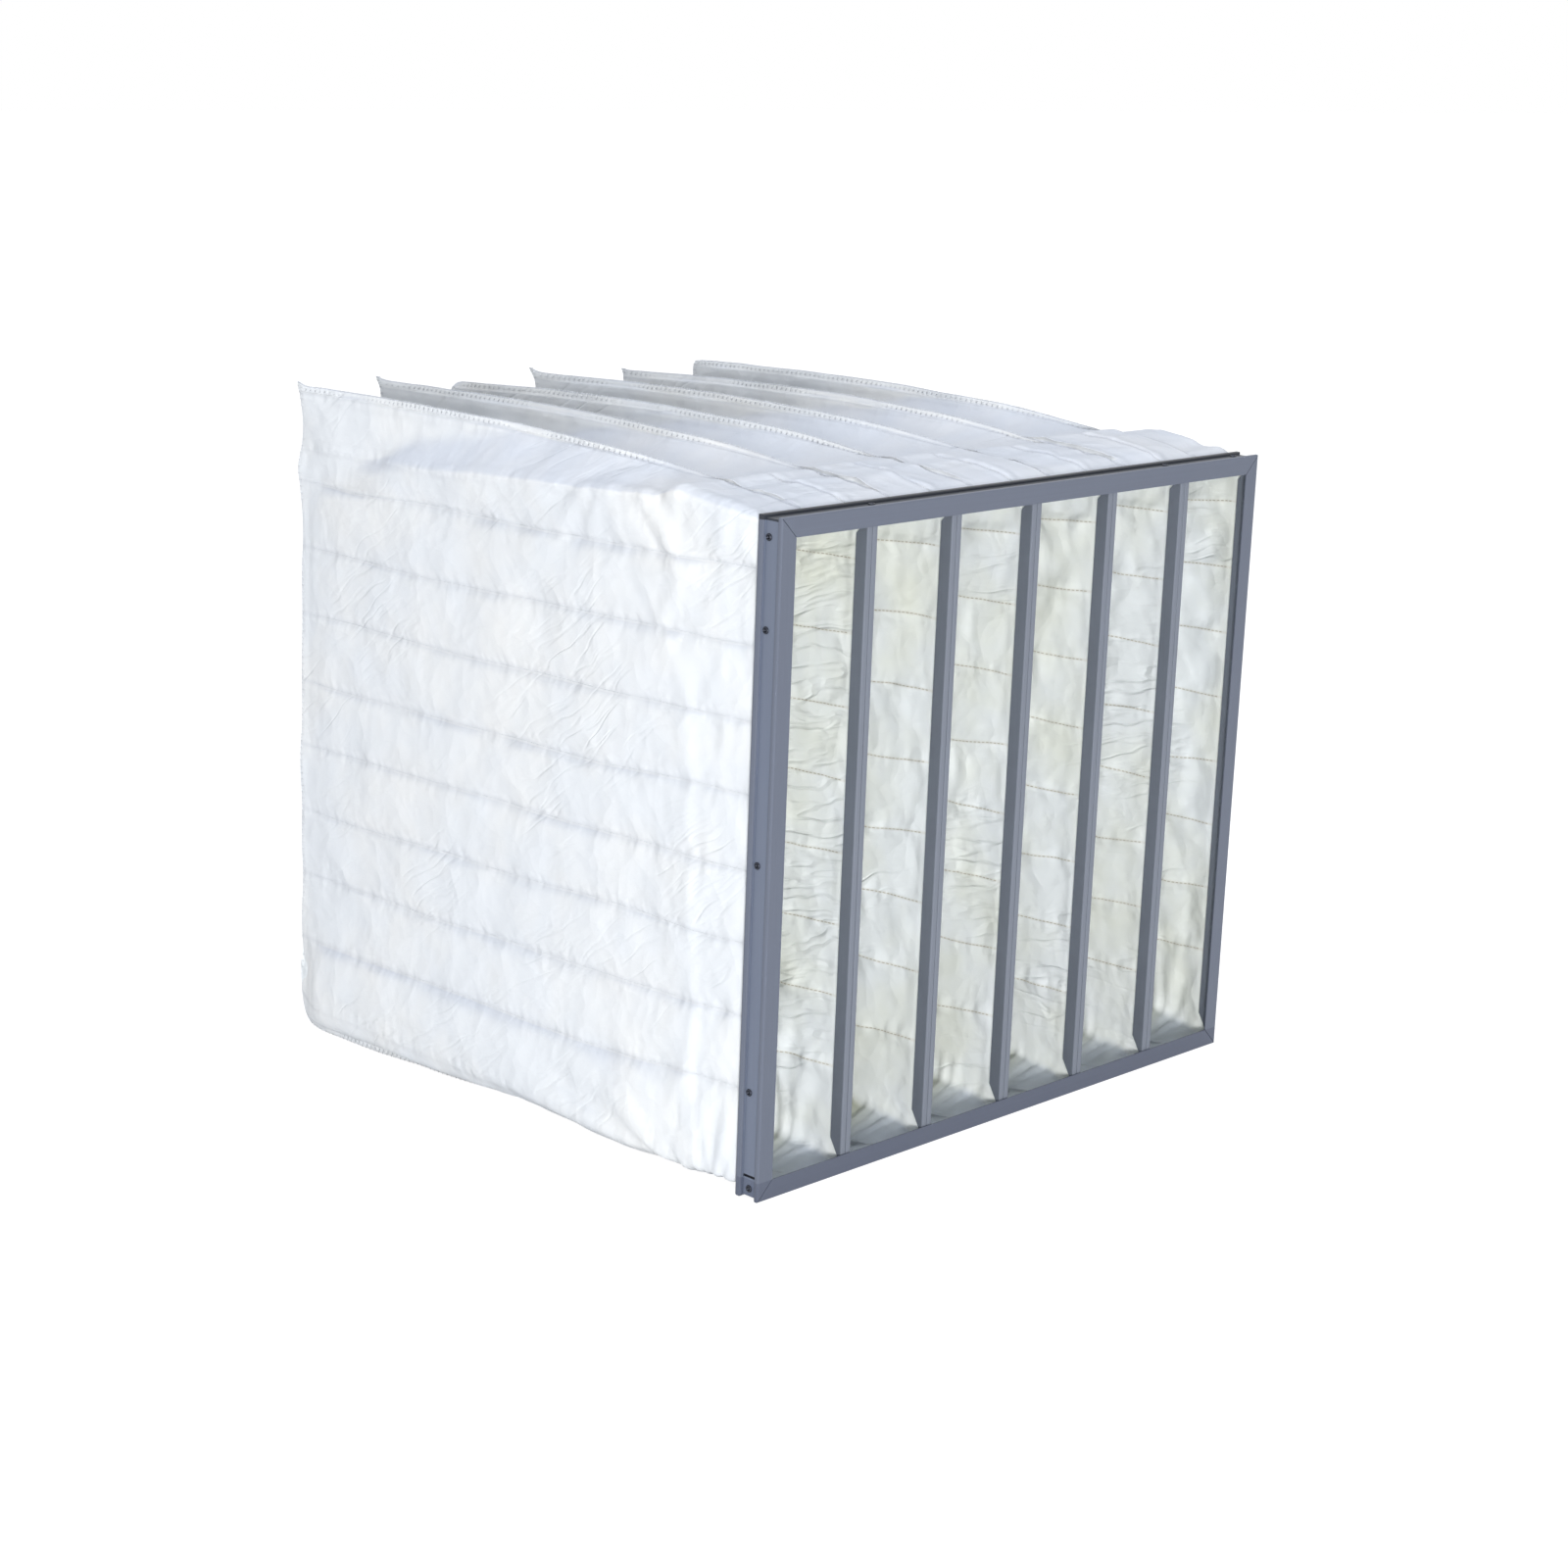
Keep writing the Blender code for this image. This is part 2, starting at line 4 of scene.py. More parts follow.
import bmesh
import bpy
from mathutils import Matrix, Vector, noise
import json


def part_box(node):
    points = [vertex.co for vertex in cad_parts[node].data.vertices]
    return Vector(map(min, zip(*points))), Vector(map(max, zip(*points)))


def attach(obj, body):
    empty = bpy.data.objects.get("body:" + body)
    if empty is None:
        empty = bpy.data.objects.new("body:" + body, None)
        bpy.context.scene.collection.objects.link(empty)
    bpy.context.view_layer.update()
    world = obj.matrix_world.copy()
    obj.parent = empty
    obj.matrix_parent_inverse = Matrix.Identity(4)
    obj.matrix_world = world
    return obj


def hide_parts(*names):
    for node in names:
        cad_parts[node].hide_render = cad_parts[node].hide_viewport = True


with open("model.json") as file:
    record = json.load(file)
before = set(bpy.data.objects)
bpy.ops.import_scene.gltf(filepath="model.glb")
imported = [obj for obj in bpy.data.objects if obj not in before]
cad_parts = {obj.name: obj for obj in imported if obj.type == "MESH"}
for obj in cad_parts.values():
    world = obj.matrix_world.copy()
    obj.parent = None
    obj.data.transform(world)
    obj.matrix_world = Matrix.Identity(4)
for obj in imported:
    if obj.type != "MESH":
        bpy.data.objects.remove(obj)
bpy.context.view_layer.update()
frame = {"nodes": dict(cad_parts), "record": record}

# The stance
# The filter stands on the header's front lower edge and on the pockets' ends, so all of it leans
# forward. The lean is read from the front flange's mount and the place from the header's box.
HEADER_HEIGHT = 0.540
FRONT_AXIS = Vector(frame["record"]["mounts"][0]["axis"])
LEAN = math.asin(-FRONT_AXIS.z)
header_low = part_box("header_frame")[0]
FRONT_EDGE = Vector((0, header_low.y + HEADER_HEIGHT * math.sin(LEAN), 0))
STANCE = Matrix.Translation(FRONT_EDGE) @ Matrix.Rotation(LEAN, 4, "X")

# The header frame and the pocket holders
# Rolled strips of aluminium, folded, notched and riveted, with a dull blue-grey anodised finish.
# The drawn strip shows faint streaks along its length. Painted light and shade: the recessed web
# is painted a little lighter, and the upper web, the lower rail and the rear lip are painted
# darker.
HEADER_WIDTH = 0.592
HEADER_DEPTH = 0.025
FLANGE_WIDTH = 0.016
FRONT_BEAD = 0.0044
REAR_BEAD = 0.0059
LIP_THICKNESS = 0.0011
UPPER_WEB_DEPTH = 0.004
UNDER_WEB = 0.2915
HEADER_COLOUR = (0.128, 0.146, 0.192)
# Painted light: the recessed web is painted lighter than the flanges.
PAINTED_WEB_LIGHT = (1.14, 1.17, 1.20)
# Painted shade and dark reflection on the upper web.
PAINTED_UPPER_WEB_SHADE = (0.20, 0.205, 0.21)
# Painted shade on the lower rail.
PAINTED_LOWER_RAIL_SHADE = (0.74, 0.75, 0.80)
# Painted shade along the rear lip.
PAINTED_LIP_SHADE = (0.28, 0.30, 0.33)
HOLDER_COLOUR = (0.178, 0.198, 0.240)
# Painted shadow: the holders are painted near black where they reach farther out than UNDER_WEB.
PAINTED_UNDER_WEB_SHADOW = (0.04, 0.04, 0.05)
STRIP_ROUGHNESS = (0.38, 0.52)
STREAK_SCALES = ((700, 700, 5), (5, 700, 700))


def add_node(material, kind, **settings):
    """A node in a material, with values for its sockets (by name) or its own settings."""
    made = material.node_tree.nodes.new(kind)
    for name, value in settings.items():
        socket = made.inputs.get(name.replace("_", " "))
        if socket is None:
            setattr(made, name, value)
        else:
            socket.default_value = value
    return made


def new_material(name, colour, roughness, metallic=0.0):
    """A Principled material, with its node links and its shader."""
    made = bpy.data.materials.new(name)
    made.use_nodes = True
    shader = made.node_tree.nodes["Principled BSDF"]
    shader.inputs["Base Color"].default_value = (*colour, 1.0)
    shader.inputs["Roughness"].default_value = roughness
    shader.inputs["Metallic"].default_value = metallic
    return made, made.node_tree.links, shader


def give_material(piece, *materials):
    piece.data.materials.clear()
    for each in materials:
        piece.data.materials.append(each)


def combine(material, kind, first, second=None):
    """One Math node on two sockets or numbers."""
    node = add_node(material, "ShaderNodeMath", operation=kind)
    for slot, value in enumerate((first, second)):
        if hasattr(value, "links"):
            material.node_tree.links.new(value, node.inputs[slot])
        elif value is not None:
            node.inputs[slot].default_value = value
    return node.outputs[0]


def texture(material, kind, place, **settings):
    """A texture or a mapping that reads a place."""
    node = add_node(material, kind, **settings)
    material.node_tree.links.new(place, node.inputs["Vector"])
    return node


def add_bump(material, height, strength, distance, under=None):
    """The normal of a bump, on top of another normal if there is one."""
    node = add_node(material, "ShaderNodeBump", Strength=strength, Distance=distance)
    material.node_tree.links.new(height, node.inputs["Height"])
    if under:
        material.node_tree.links.new(under, node.inputs["Normal"])
    return node.outputs["Normal"]


def tinted(material, where, surface, tint):
    """A surface's colour, multiplied by a tint where a factor says so."""
    node = add_node(material, "ShaderNodeMix", data_type="RGBA", blend_type="MULTIPLY")
    if hasattr(tint, "links"):
        material.node_tree.links.new(tint, node.inputs["B"])
    else:
        node.inputs["B"].default_value = (*tint, 1)
    material.node_tree.links.new(where, node.inputs["Factor"])
    material.node_tree.links.new(surface, node.inputs["A"])
    return node.outputs["Result"]


def strip_material(name, colour, upright_from):
    """Anodised strip: streaks run up its sides and across its top and bottom."""
    made, links, shader = new_material(name, colour, 0.44, 0.40)
    place = add_node(made, "ShaderNodeTexCoord").outputs["Object"]
    streaks = []
    for scale in STREAK_SCALES:
        stretch = texture(made, "ShaderNodeMapping", place, Scale=scale)
        streak = texture(
            made, "ShaderNodeTexNoise", stretch.outputs[0], Scale=1.0, Detail=3.0, Roughness=0.6
        )
        streaks.append(streak.outputs["Fac"])
    axes = add_node(made, "ShaderNodeSeparateXYZ")
    links.new(place, axes.inputs[0])
    sideways = combine(made, "ABSOLUTE", axes.outputs["X"])
    choice = add_node(made, "ShaderNodeMix")
    links.new(combine(made, "GREATER_THAN", sideways, upright_from), choice.inputs["Factor"])
    links.new(streaks[1], choice.inputs["A"])
    links.new(streaks[0], choice.inputs["B"])
    clouds = texture(
        made, "ShaderNodeTexNoise", place, Scale=14.0, Detail=4.0, Roughness=0.65
    ).outputs["Fac"]
    tone = add_node(made, "ShaderNodeMix", data_type="RGBA", blend_type="MIX")
    tone.inputs["A"].default_value = (*[0.88 * value for value in colour], 1)
    tone.inputs["B"].default_value = (*[1.12 * value for value in colour], 1)
    mixed = combine(made, "ADD", choice.outputs["Result"], clouds)
    links.new(combine(made, "MULTIPLY", mixed, 0.5), tone.inputs["Factor"])
    least, most = STRIP_ROUGHNESS
    worn = add_node(
        made, "ShaderNodeMapRange", From_Min=0.35, From_Max=0.65, To_Min=least, To_Max=most
    )
    links.new(clouds, worn.inputs["Value"])
    links.new(worn.outputs[0], shader.inputs["Roughness"])
    drawn = add_bump(made, choice.outputs["Result"], 0.15, 0.0002)
    links.new(drawn, shader.inputs["Normal"])
    return made, links, shader, place, tone.outputs["Result"], sideways


header_metal, links, shader, place, surface, sideways = strip_material(
    "header_anodised", HEADER_COLOUR, HEADER_WIDTH / 2 - FLANGE_WIDTH
)
level = texture(
    header_metal, "ShaderNodeMapping", place,
    vector_type="TEXTURE", Location=FRONT_EDGE, Rotation=(LEAN, 0, 0),
)
axes = add_node(header_metal, "ShaderNodeSeparateXYZ")
links.new(level.outputs[0], axes.inputs[0])
back, up = axes.outputs["Y"], axes.outputs["Z"]
past_front = combine(header_metal, "GREATER_THAN", back, FRONT_BEAD)
before_rear = combine(header_metal, "LESS_THAN", back, HEADER_DEPTH - REAR_BEAD)
in_web = combine(header_metal, "MULTIPLY", past_front, before_rear)
on_top = combine(header_metal, "GREATER_THAN", up, HEADER_HEIGHT - UPPER_WEB_DEPTH)
upper_web = combine(header_metal, "MULTIPLY", past_front, on_top)
near_floor = combine(header_metal, "LESS_THAN", up, FLANGE_WIDTH)
on_lip = combine(header_metal, "GREATER_THAN", back, HEADER_DEPTH - LIP_THICKNESS)
for where, tint in (
    (in_web, PAINTED_WEB_LIGHT), (upper_web, PAINTED_UPPER_WEB_SHADE), (near_floor, PAINTED_LOWER_RAIL_SHADE),
    (on_lip, PAINTED_LIP_SHADE),
):
    surface = tinted(header_metal, where, surface, tint)
links.new(surface, shader.inputs["Base Color"])
give_material(frame["nodes"]["header_frame"], header_metal)

holder_metal, links, shader, place, surface, sideways = strip_material(
    "holder_anodised", HOLDER_COLOUR, 0.0
)
in_shadow = combine(holder_metal, "GREATER_THAN", sideways, UNDER_WEB)
surface = tinted(holder_metal, in_shadow, surface, PAINTED_UNDER_WEB_SHADOW)
links.new(surface, shader.inputs["Base Color"])
for number in range(1, 7):
    give_material(frame["nodes"][f"pocket_holder_{number}"], holder_metal)

# The rivets
# Blind rivets, each with a domed rim round the dark hole where its steel stem broke off, and a
# tail that swells behind the holder. The profile is given as (radius, height) in millimetres.
RIVET_PROFILE = (
    (0.0, 0.30), (0.75, 0.25), (0.80, -1.2), (1.55, -1.2), (1.65, 0.80), (1.85, 1.13), (2.2, 1.10),
    (2.75, 0.78), (3.0, 0.40), (3.0, 0.15), (1.6, 0.15), (1.6, -2.15), (2.4, -2.4), (1.7, -3.25),
    (0.0, -3.25),
)
STEM_RADIUS = 0.00078
RIVET_MIDDLE = 0.00105
RIVET_FACETS = 20
OUTWARD = {"tab": "-X", "left": "-X", "right": "X", "top": "Z", "bottom": "-Z"}


def scuffed_metal(name, colour, roughness):
    made, links, shader = new_material(name, colour, roughness, 0.85)
    place = add_node(made, "ShaderNodeTexCoord").outputs["Object"]
    scuffs = texture(made, "ShaderNodeTexNoise", place, Scale=900.0, Detail=4.0)
    links.new(add_bump(made, scuffs.outputs["Fac"], 0.25, 0.0002), shader.inputs["Normal"])
    return made


def add_piece(name, bm):
    """A built mesh as an object in the scene."""
    mesh = bpy.data.meshes.new(name)
    bm.to_mesh(mesh)
    bm.free()
    piece = bpy.data.objects.new(name, mesh)
    bpy.context.scene.collection.objects.link(piece)
    return piece


rivet_metal = scuffed_metal("rivet_dull_aluminium", (0.045, 0.050, 0.065), 0.30)
stem_metal = scuffed_metal("stem_steel", (0.42, 0.44, 0.47), 0.28)
for node in [name for name in frame["nodes"] if name.startswith("rivet_")]:
    low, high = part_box(node)
    side = OUTWARD[node.split("_")[1]]
    axis = Vector([(letter in side) for letter in "XYZ"]) * (-1 if "-" in side else 1)
    middle = STANCE.inverted() @ ((Vector(low) + Vector(high)) / 2)
    seat = Matrix.Translation(middle + axis * RIVET_MIDDLE)
    bm = bmesh.new()
    verts = [bm.verts.new((radius / 1000, 0, height / 1000)) for radius, height in RIVET_PROFILE]
    edges = [bm.edges.new(pair) for pair in zip(verts, verts[1:])]
    bmesh.ops.spin(
        bm, geom=verts + edges, cent=(0, 0, 0), axis=(0, 0, 1),
        angle=2 * math.pi, steps=RIVET_FACETS, use_merge=True,
    )
    bmesh.ops.remove_doubles(bm, verts=bm.verts, dist=0.00001)
    bmesh.ops.recalc_face_normals(bm, faces=bm.faces)
    for face in bm.faces:
        outward = face.calc_center_median()
        if outward.xy.length < STEM_RADIUS and outward.z > 0:
            face.material_index = 1
    turn = axis.to_track_quat("Z", "Y").to_matrix().to_4x4()
    bmesh.ops.transform(bm, matrix=STANCE @ seat @ turn, verts=bm.verts)
    rivet = add_piece(f"blind_{node}", bm)
    rivet.data.shade_smooth()
    give_material(rivet, rivet_metal, stem_metal)
    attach(rivet, "root")
    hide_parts(node)

# The sewn pockets
# Each is one piece of white nonwoven, folded to a wedge and sewn along its top, rear and bottom.
# Eight stitched rows run the length of both walls, and a hem sits in the holder's channel.
POCKET_COUNT = 6
POCKET_PITCH = 0.09755
POCKET_REACH = 0.650
POCKET_DROP = 0.032
MOUTH_HALF_WIDTH = 0.04622
MOUTH_FRONT = 0.0026
MOUTH_BOTTOM = 0.0059
MOUTH_TOP = 0.5341
HEM_END = 0.0183
TOP_RISE = 0.025
CLOTH_THICKNESS = 0.0008
SEAM_HALF_THICKNESS = 0.0010
SEAM_ALLOWANCE = 0.008
SEAM_ALLOWANCE_AT_MOUTH = 0.0005
REAR_SEAM = 0.638
ROW_COUNT = 8
ROW_PITCH = 0.0606
FIRST_ROW_AT_REAR = 0.053
FIRST_ROW_RISE = 0.035
LESS_RISE_PER_ROW = 0.002
PILLOW = 0.0035
BELLY = 0.0030
CORNER_RADIUS = 0.020
REAR_SWAY = (-0.0006, -0.0024, -0.0250, -0.0110, 0.0020, -0.0070)
REAR_SINK = (0.004, 0.006, 0.010, 0.010, 0.014, 0.008)
LOW_SWAY = (-0.013, 0.004, -0.005, 0.005, -0.004, 0.008)
EAR_HEIGHT = (0.004, 0.003, -0.003, 0.004, 0.001, -0.002)
EAR_REACH = (0.001, 0.015, -0.009, 0.017, 0.006, -0.009)
ROW_WANDER = (0.0035, 0.008, 0.007, 0.008, 0.007, 0.008)
LEFT_KNEE_SHARE = 0.42
RIGHT_KNEE_SHARE = 0.95
LOW_KNEE_BULGE = 0.007
TOP_FULLNESS = 0.0078
FLOOR_CLEARANCE = 0.0006
EAR_START = 0.615
EAR_LENGTH = 0.035
CLOTH_JITTER = 0.0005

# On the first pocket's outer wall the two cloths lie flat together above this fold, which runs
# from the top seam to the rear edge, as (depth, height) points.
FLAT_CORNER = ((0.300, 0.588), (0.345, 0.571), (0.460, 0.537), (0.560, 0.494), (0.650, 0.470))
FLAT_CORNER_BULGE = 0.0045

FLAP_SHARES = (0.0, 0.5, 1.0)
KNEE_SHARES = (0.0, 0.08, 0.28, 0.5, 0.72, 0.92, 1.0)
EDGE_SHARES = (0.0, 0.07, 0.28, 0.5, 0.75, 0.94, 1.0)
ROW_SHARES = (0.0, 0.06, 0.28, 0.5, 0.72, 0.94, 1.0)

# Stations along the cloth: closest behind the holder, where the folds are finest.
STATIONS = [MOUTH_FRONT, (MOUTH_FRONT + HEM_END) / 2]
STATIONS += [HEM_END + 0.140 * step / 20 for step in range(20)]
STATIONS += [0.1583 + 0.440 * step / 26 for step in range(26)]
STATIONS += [0.5983, 0.609, 0.620, 0.630, REAR_SEAM, 0.642, 0.646, 0.6488, POCKET_REACH]

# Rows are counted from 1 at the bottom. Below them are the fold, the seam and the raw edge.
FOLD_LOW, SEAM_LOW, TIP_LOW = 0, -1, -2
FOLD_HIGH, SEAM_HIGH, TIP_HIGH = ROW_COUNT + 1, ROW_COUNT + 2, ROW_COUNT + 3


def half_marks():
    """Where the cloth's points lie up one side, from the lower raw edge to the upper one."""
    marks = [float(TIP_LOW)]
    for row in range(TIP_LOW, TIP_HIGH):
        if row in (TIP_LOW, SEAM_HIGH):
            shares = FLAP_SHARES
        elif row in (SEAM_LOW, FOLD_HIGH):
            shares = KNEE_SHARES
        elif row == FOLD_LOW:
            shares = EDGE_SHARES
        elif row == ROW_COUNT:
            shares = [1 - share for share in reversed(EDGE_SHARES)]
        else:
            shares = ROW_SHARES
        marks += [row + share for share in shares[1:]]
    return marks


def along_pocket(depth):
    """0 where the pocket leaves its holder and 1 at the rear seam."""
    return min(max((depth - HEM_END) / (REAR_SEAM - HEM_END), 0.0), 1.0)


def half_width(depth):
    share = along_pocket(depth)
    wedge = SEAM_HALF_THICKNESS + (MOUTH_HALF_WIDTH - SEAM_HALF_THICKNESS) * (1 - share)
    return wedge + BELLY * math.sin(math.pi * share)


def seam_allowance(depth):
    grown = min(along_pocket(depth) / 0.35, 1.0)
    return SEAM_ALLOWANCE_AT_MOUTH + (SEAM_ALLOWANCE - SEAM_ALLOWANCE_AT_MOUTH) * grown


def top_seam(number, depth):
    share = along_pocket(depth)
    sink = REAR_SINK[number - 1] * share ** 3
    return MOUTH_TOP + TOP_RISE * (1 - (1 - share) ** 3) - sink


def bottom_seam(depth):
    floor = -POCKET_DROP * depth / POCKET_REACH
    held = (1 - along_pocket(depth)) ** 12
    mouth_edge = MOUTH_BOTTOM - SEAM_ALLOWANCE_AT_MOUTH
    return mouth_edge * held + floor * (1 - held) + seam_allowance(depth)


def top_half_width(depth):
    """The upper knees are fuller than the walls, so the pockets' tops meet behind the header."""
    bulge = math.sin(math.pi * min(along_pocket(depth) / 0.7, 1.0)) ** 0.7
    return min(half_width(depth) + TOP_FULLNESS * bulge, MOUTH_HALF_WIDTH + 0.0012)


def knee_drop(half):
    """How far the cloth falls from a seam to the fold that runs back from the mouth's corner."""
    return math.sqrt(max(MOUTH_HALF_WIDTH ** 2 - half ** 2, 0.0))


def corner_lift(depth):
    share = min(max((depth - POCKET_REACH + CORNER_RADIUS) / CORNER_RADIUS, 0.0), 1.0)
    return CORNER_RADIUS * (1 - math.sqrt(1 - share ** 2))


def row_height(number, row, depth):
    """A row's height: the rows rise towards the mouth, and wander as they were sewn by eye."""
    free = min(along_pocket(depth) * 12, 1.0)
    wander = noise.noise(Vector((depth * 7, row * 3.7, number * 5.3)))
    rise = FIRST_ROW_RISE - LESS_RISE_PER_ROW * (row - 1)
    lifted = rise * max(1 - depth / POCKET_REACH, 0.0) ** 1.2
    at_rear = FIRST_ROW_AT_REAR + ROW_PITCH * (row - 1)
    return at_rear + lifted + ROW_WANDER[number - 1] * wander * free


def flat_corner(depth, high, x, z):
    """Presses the outer wall's upper rear corner flat and lets it bulge below the fold."""
    for near, far in zip(FLAT_CORNER, FLAT_CORNER[1:]):
        if near[0] <= depth <= far[0]:
            t = (depth - near[0]) / (far[0] - near[0])
            fold = near[1] + (far[1] - near[1]) * t
            above = min(max((z - fold + 0.009) / 0.018, 0.0), 1.0)
            above = above * above * (3 - 2 * above)
            flat = min(x, SEAM_HALF_THICKNESS + 0.0012 + 0.05 * max(high - z, 0.0))
            bulge = FLAT_CORNER_BULGE * math.exp(-((z - fold + 0.024) / 0.015) ** 2)
            start = FLAT_CORNER[0][0]
            fade = min((POCKET_REACH - depth) / 0.06, 1.0) * min((depth - start) / 0.05, 1.0)
            return x + (flat - x) * above + bulge * fade
    return x


def cloth_point(number, mark, side, depth):
    """(x, z) of a mark on the cloth at a depth, as on the right side."""
    low, high = bottom_seam(depth), top_seam(number, depth)
    share = along_pocket(depth)
    ear = EAR_HEIGHT[number - 1] * max(0.0, (depth - REAR_SEAM) / (POCKET_REACH - REAR_SEAM))
    lift = corner_lift(depth)
    row = min(math.floor(mark), TIP_HIGH - 1)
    t = mark - row
    closing = min(max((POCKET_REACH - depth) / 0.004, 0.0), 1.0)
    seam = SEAM_HALF_THICKNESS * math.sqrt(closing)
    half = max(half_width(depth) * math.sqrt(closing), seam)
    top_half = max(top_half_width(depth) * math.sqrt(closing), seam)
    knee_share = RIGHT_KNEE_SHARE if side > 0 else LEFT_KNEE_SHARE
    low_fold = low + knee_share * knee_drop(half_width(depth)) + lift * 0.5
    high_fold = high - knee_drop(top_half_width(depth))
    stops = {
        TIP_LOW: (0.0, low - seam_allowance(depth) + lift),
        SEAM_LOW: (seam, low + lift * 0.8),
        FOLD_LOW: (half, low_fold),
        FOLD_HIGH: (top_half, high_fold),
        SEAM_HIGH: (seam, high),
        TIP_HIGH: (0.0, high + seam_allowance(depth) + ear),
    }
    near = stops.get(row) or (half, row_height(number, row, depth))
    far = stops.get(row + 1) or (half, row_height(number, row + 1, depth))
    x = near[0] + (far[0] - near[0]) * t
    z = near[1] + (far[1] - near[1]) * t
    if row in (TIP_LOW, SEAM_HIGH):
        edge = t if row == TIP_LOW else 1 - t
        return seam * min(edge * 2, 1.0), z
    full = math.sqrt(max(math.sin(math.pi * share), 0))
    if FOLD_LOW <= row < FOLD_HIGH:
        x += PILLOW * full * math.sin(math.pi * t)
    elif row == FOLD_HIGH:
        x = far[0] + (near[0] - far[0]) * (1 - t) ** (1 + 0.9 * share)
    elif row == SEAM_LOW and side < 0:
        x += 0.5 * LOW_KNEE_BULGE * full * math.sin(math.pi * t)
        z -= LOW_KNEE_BULGE * full * math.sin(math.pi * t)
    if number == 1 and side < 0 and ROW_COUNT - 1 <= row <= FOLD_HIGH:
        x = flat_corner(depth, high, x, z)
    return x, z


def pocket_centre(number, depth):
    """The pocket's middle: its rear end swings a little to one side."""
    place = (number - (POCKET_COUNT + 1) / 2) * POCKET_PITCH
    return place + REAR_SWAY[number - 1] * along_pocket(depth) ** 3


def low_sway(number, mark, depth):
    """The bottom seam lies a little to one side where the pocket rests on the floor."""
    low = min(max((2 - mark) / 2, 0.0), 1.0)
    out_of_hem = min(along_pocket(depth) * 5, 1.0)
    before_rear = min(max((POCKET_REACH - depth) / 0.045, 0.0), 1.0)
    return LOW_SWAY[number - 1] * low * low * (3 - 2 * low) * out_of_hem * before_rear


def seam_wave(number, mark, depth):
    """The sewn edges wave from side to side, more so towards their raw edges."""
    rear = max(0.0, (depth - 0.60) / (POCKET_REACH - 0.60))
    height = noise.noise(Vector((mark * 0.9, number * 7.1, 3.0)))
    top = max(0.0, mark - FOLD_HIGH) / 2
    low = max(0.0, FOLD_LOW - mark) / 2
    length = noise.noise(Vector((depth * 11, number * 4.3, 8.0 + math.copysign(1, mark - 4))))
    out_of_hem = min(along_pocket(depth) * 4, 1.0)
    return 0.0055 * height * rear ** 2 + 0.0065 * length * max(top, low) * out_of_hem


def lay_pocket(number):
    """The cloth as one sheet, wrapped round into the sewn wedge."""
    marks = half_marks()
    around = [(mark, 1) for mark in marks] + [(mark, -1) for mark in reversed(marks[:-1])]
    bm = bmesh.new()
    steps, turns = len(STATIONS) - 1, len(around) - 1
    bmesh.ops.create_grid(bm, x_segments=steps, y_segments=turns, size=0.5)
    depth_layer = bm.verts.layers.float.new("depth")
    row_layer = bm.verts.layers.float.new("row")
    rng = random.Random(number)
    for vert in bm.verts:
        mark, side = around[round((vert.co.y + 0.5) * turns)]
        depth = STATIONS[round((vert.co.x + 0.5) * steps)]
        x, z = cloth_point(number, mark, side, depth)
        middle = pocket_centre(number, depth) + seam_wave(number, mark, depth)
        middle += low_sway(number, mark, depth)
        near_tip = max(0.0, (depth - EAR_START) / EAR_LENGTH)
        near_tip *= min(max((mark - FOLD_HIGH) / 2, 0.0), 1.0)
        reach = EAR_REACH[number - 1] * near_tip
        vert.co = (middle + side * x, depth + reach, z)
        vert[depth_layer] = depth
        vert[row_layer] = mark
    bmesh.ops.remove_doubles(bm, verts=bm.verts, dist=0.00002)
    bmesh.ops.recalc_face_normals(bm, faces=bm.faces)
    bm.normal_update()
    centre = pocket_centre(number, 0.0)
    if sum(vert.normal.x * (vert.co.x - centre) for vert in bm.verts) < 0:
        bmesh.ops.reverse_faces(bm, faces=bm.faces)
        bm.normal_update()
    for vert in bm.verts:
        if HEM_END < vert[depth_layer] < REAR_SEAM:
            vert.co += vert.normal * rng.uniform(-CLOTH_JITTER, CLOTH_JITTER)
    return bm


def line_distance(mark):
    """How far a mark is from the nearest stitched row, in metres."""
    row = min(max(round(mark), 1), ROW_COUNT)
    return abs(mark - row) * ROW_PITCH


def hold(mark, depth):
    """How firmly the cloth is held: all of it in the holder, less at the seams and the rows."""
    if depth < HEM_END + 0.001:
        return 1.0
    if mark <= SEAM_LOW or mark >= SEAM_HIGH or depth > REAR_SEAM:
        return 0.6
    return 0.15 * max(0.0, 1 - line_distance(mark) / 0.006)


BENDING = 0.15
FULLNESS = 0.03
ROW_GATHER = 0.015
AIR_PRESSURE = 0.25
SETTLE_STEPS = 22
MOST_SHIFT = 0.007
CLOTH_SETTINGS = {
    "quality": 5, "mass": 0.2, "air_damping": 4, "tension_stiffness": 15,
    "compression_stiffness": 15, "shear_stiffness": 8, "bending_stiffness": BENDING,
    "vertex_group_mass": "held", "shrink_min": -FULLNESS, "shrink_max": ROW_GATHER,
    "vertex_group_shrink": "tight", "use_pressure": True, "uniform_pressure_force": AIR_PRESSURE,
}


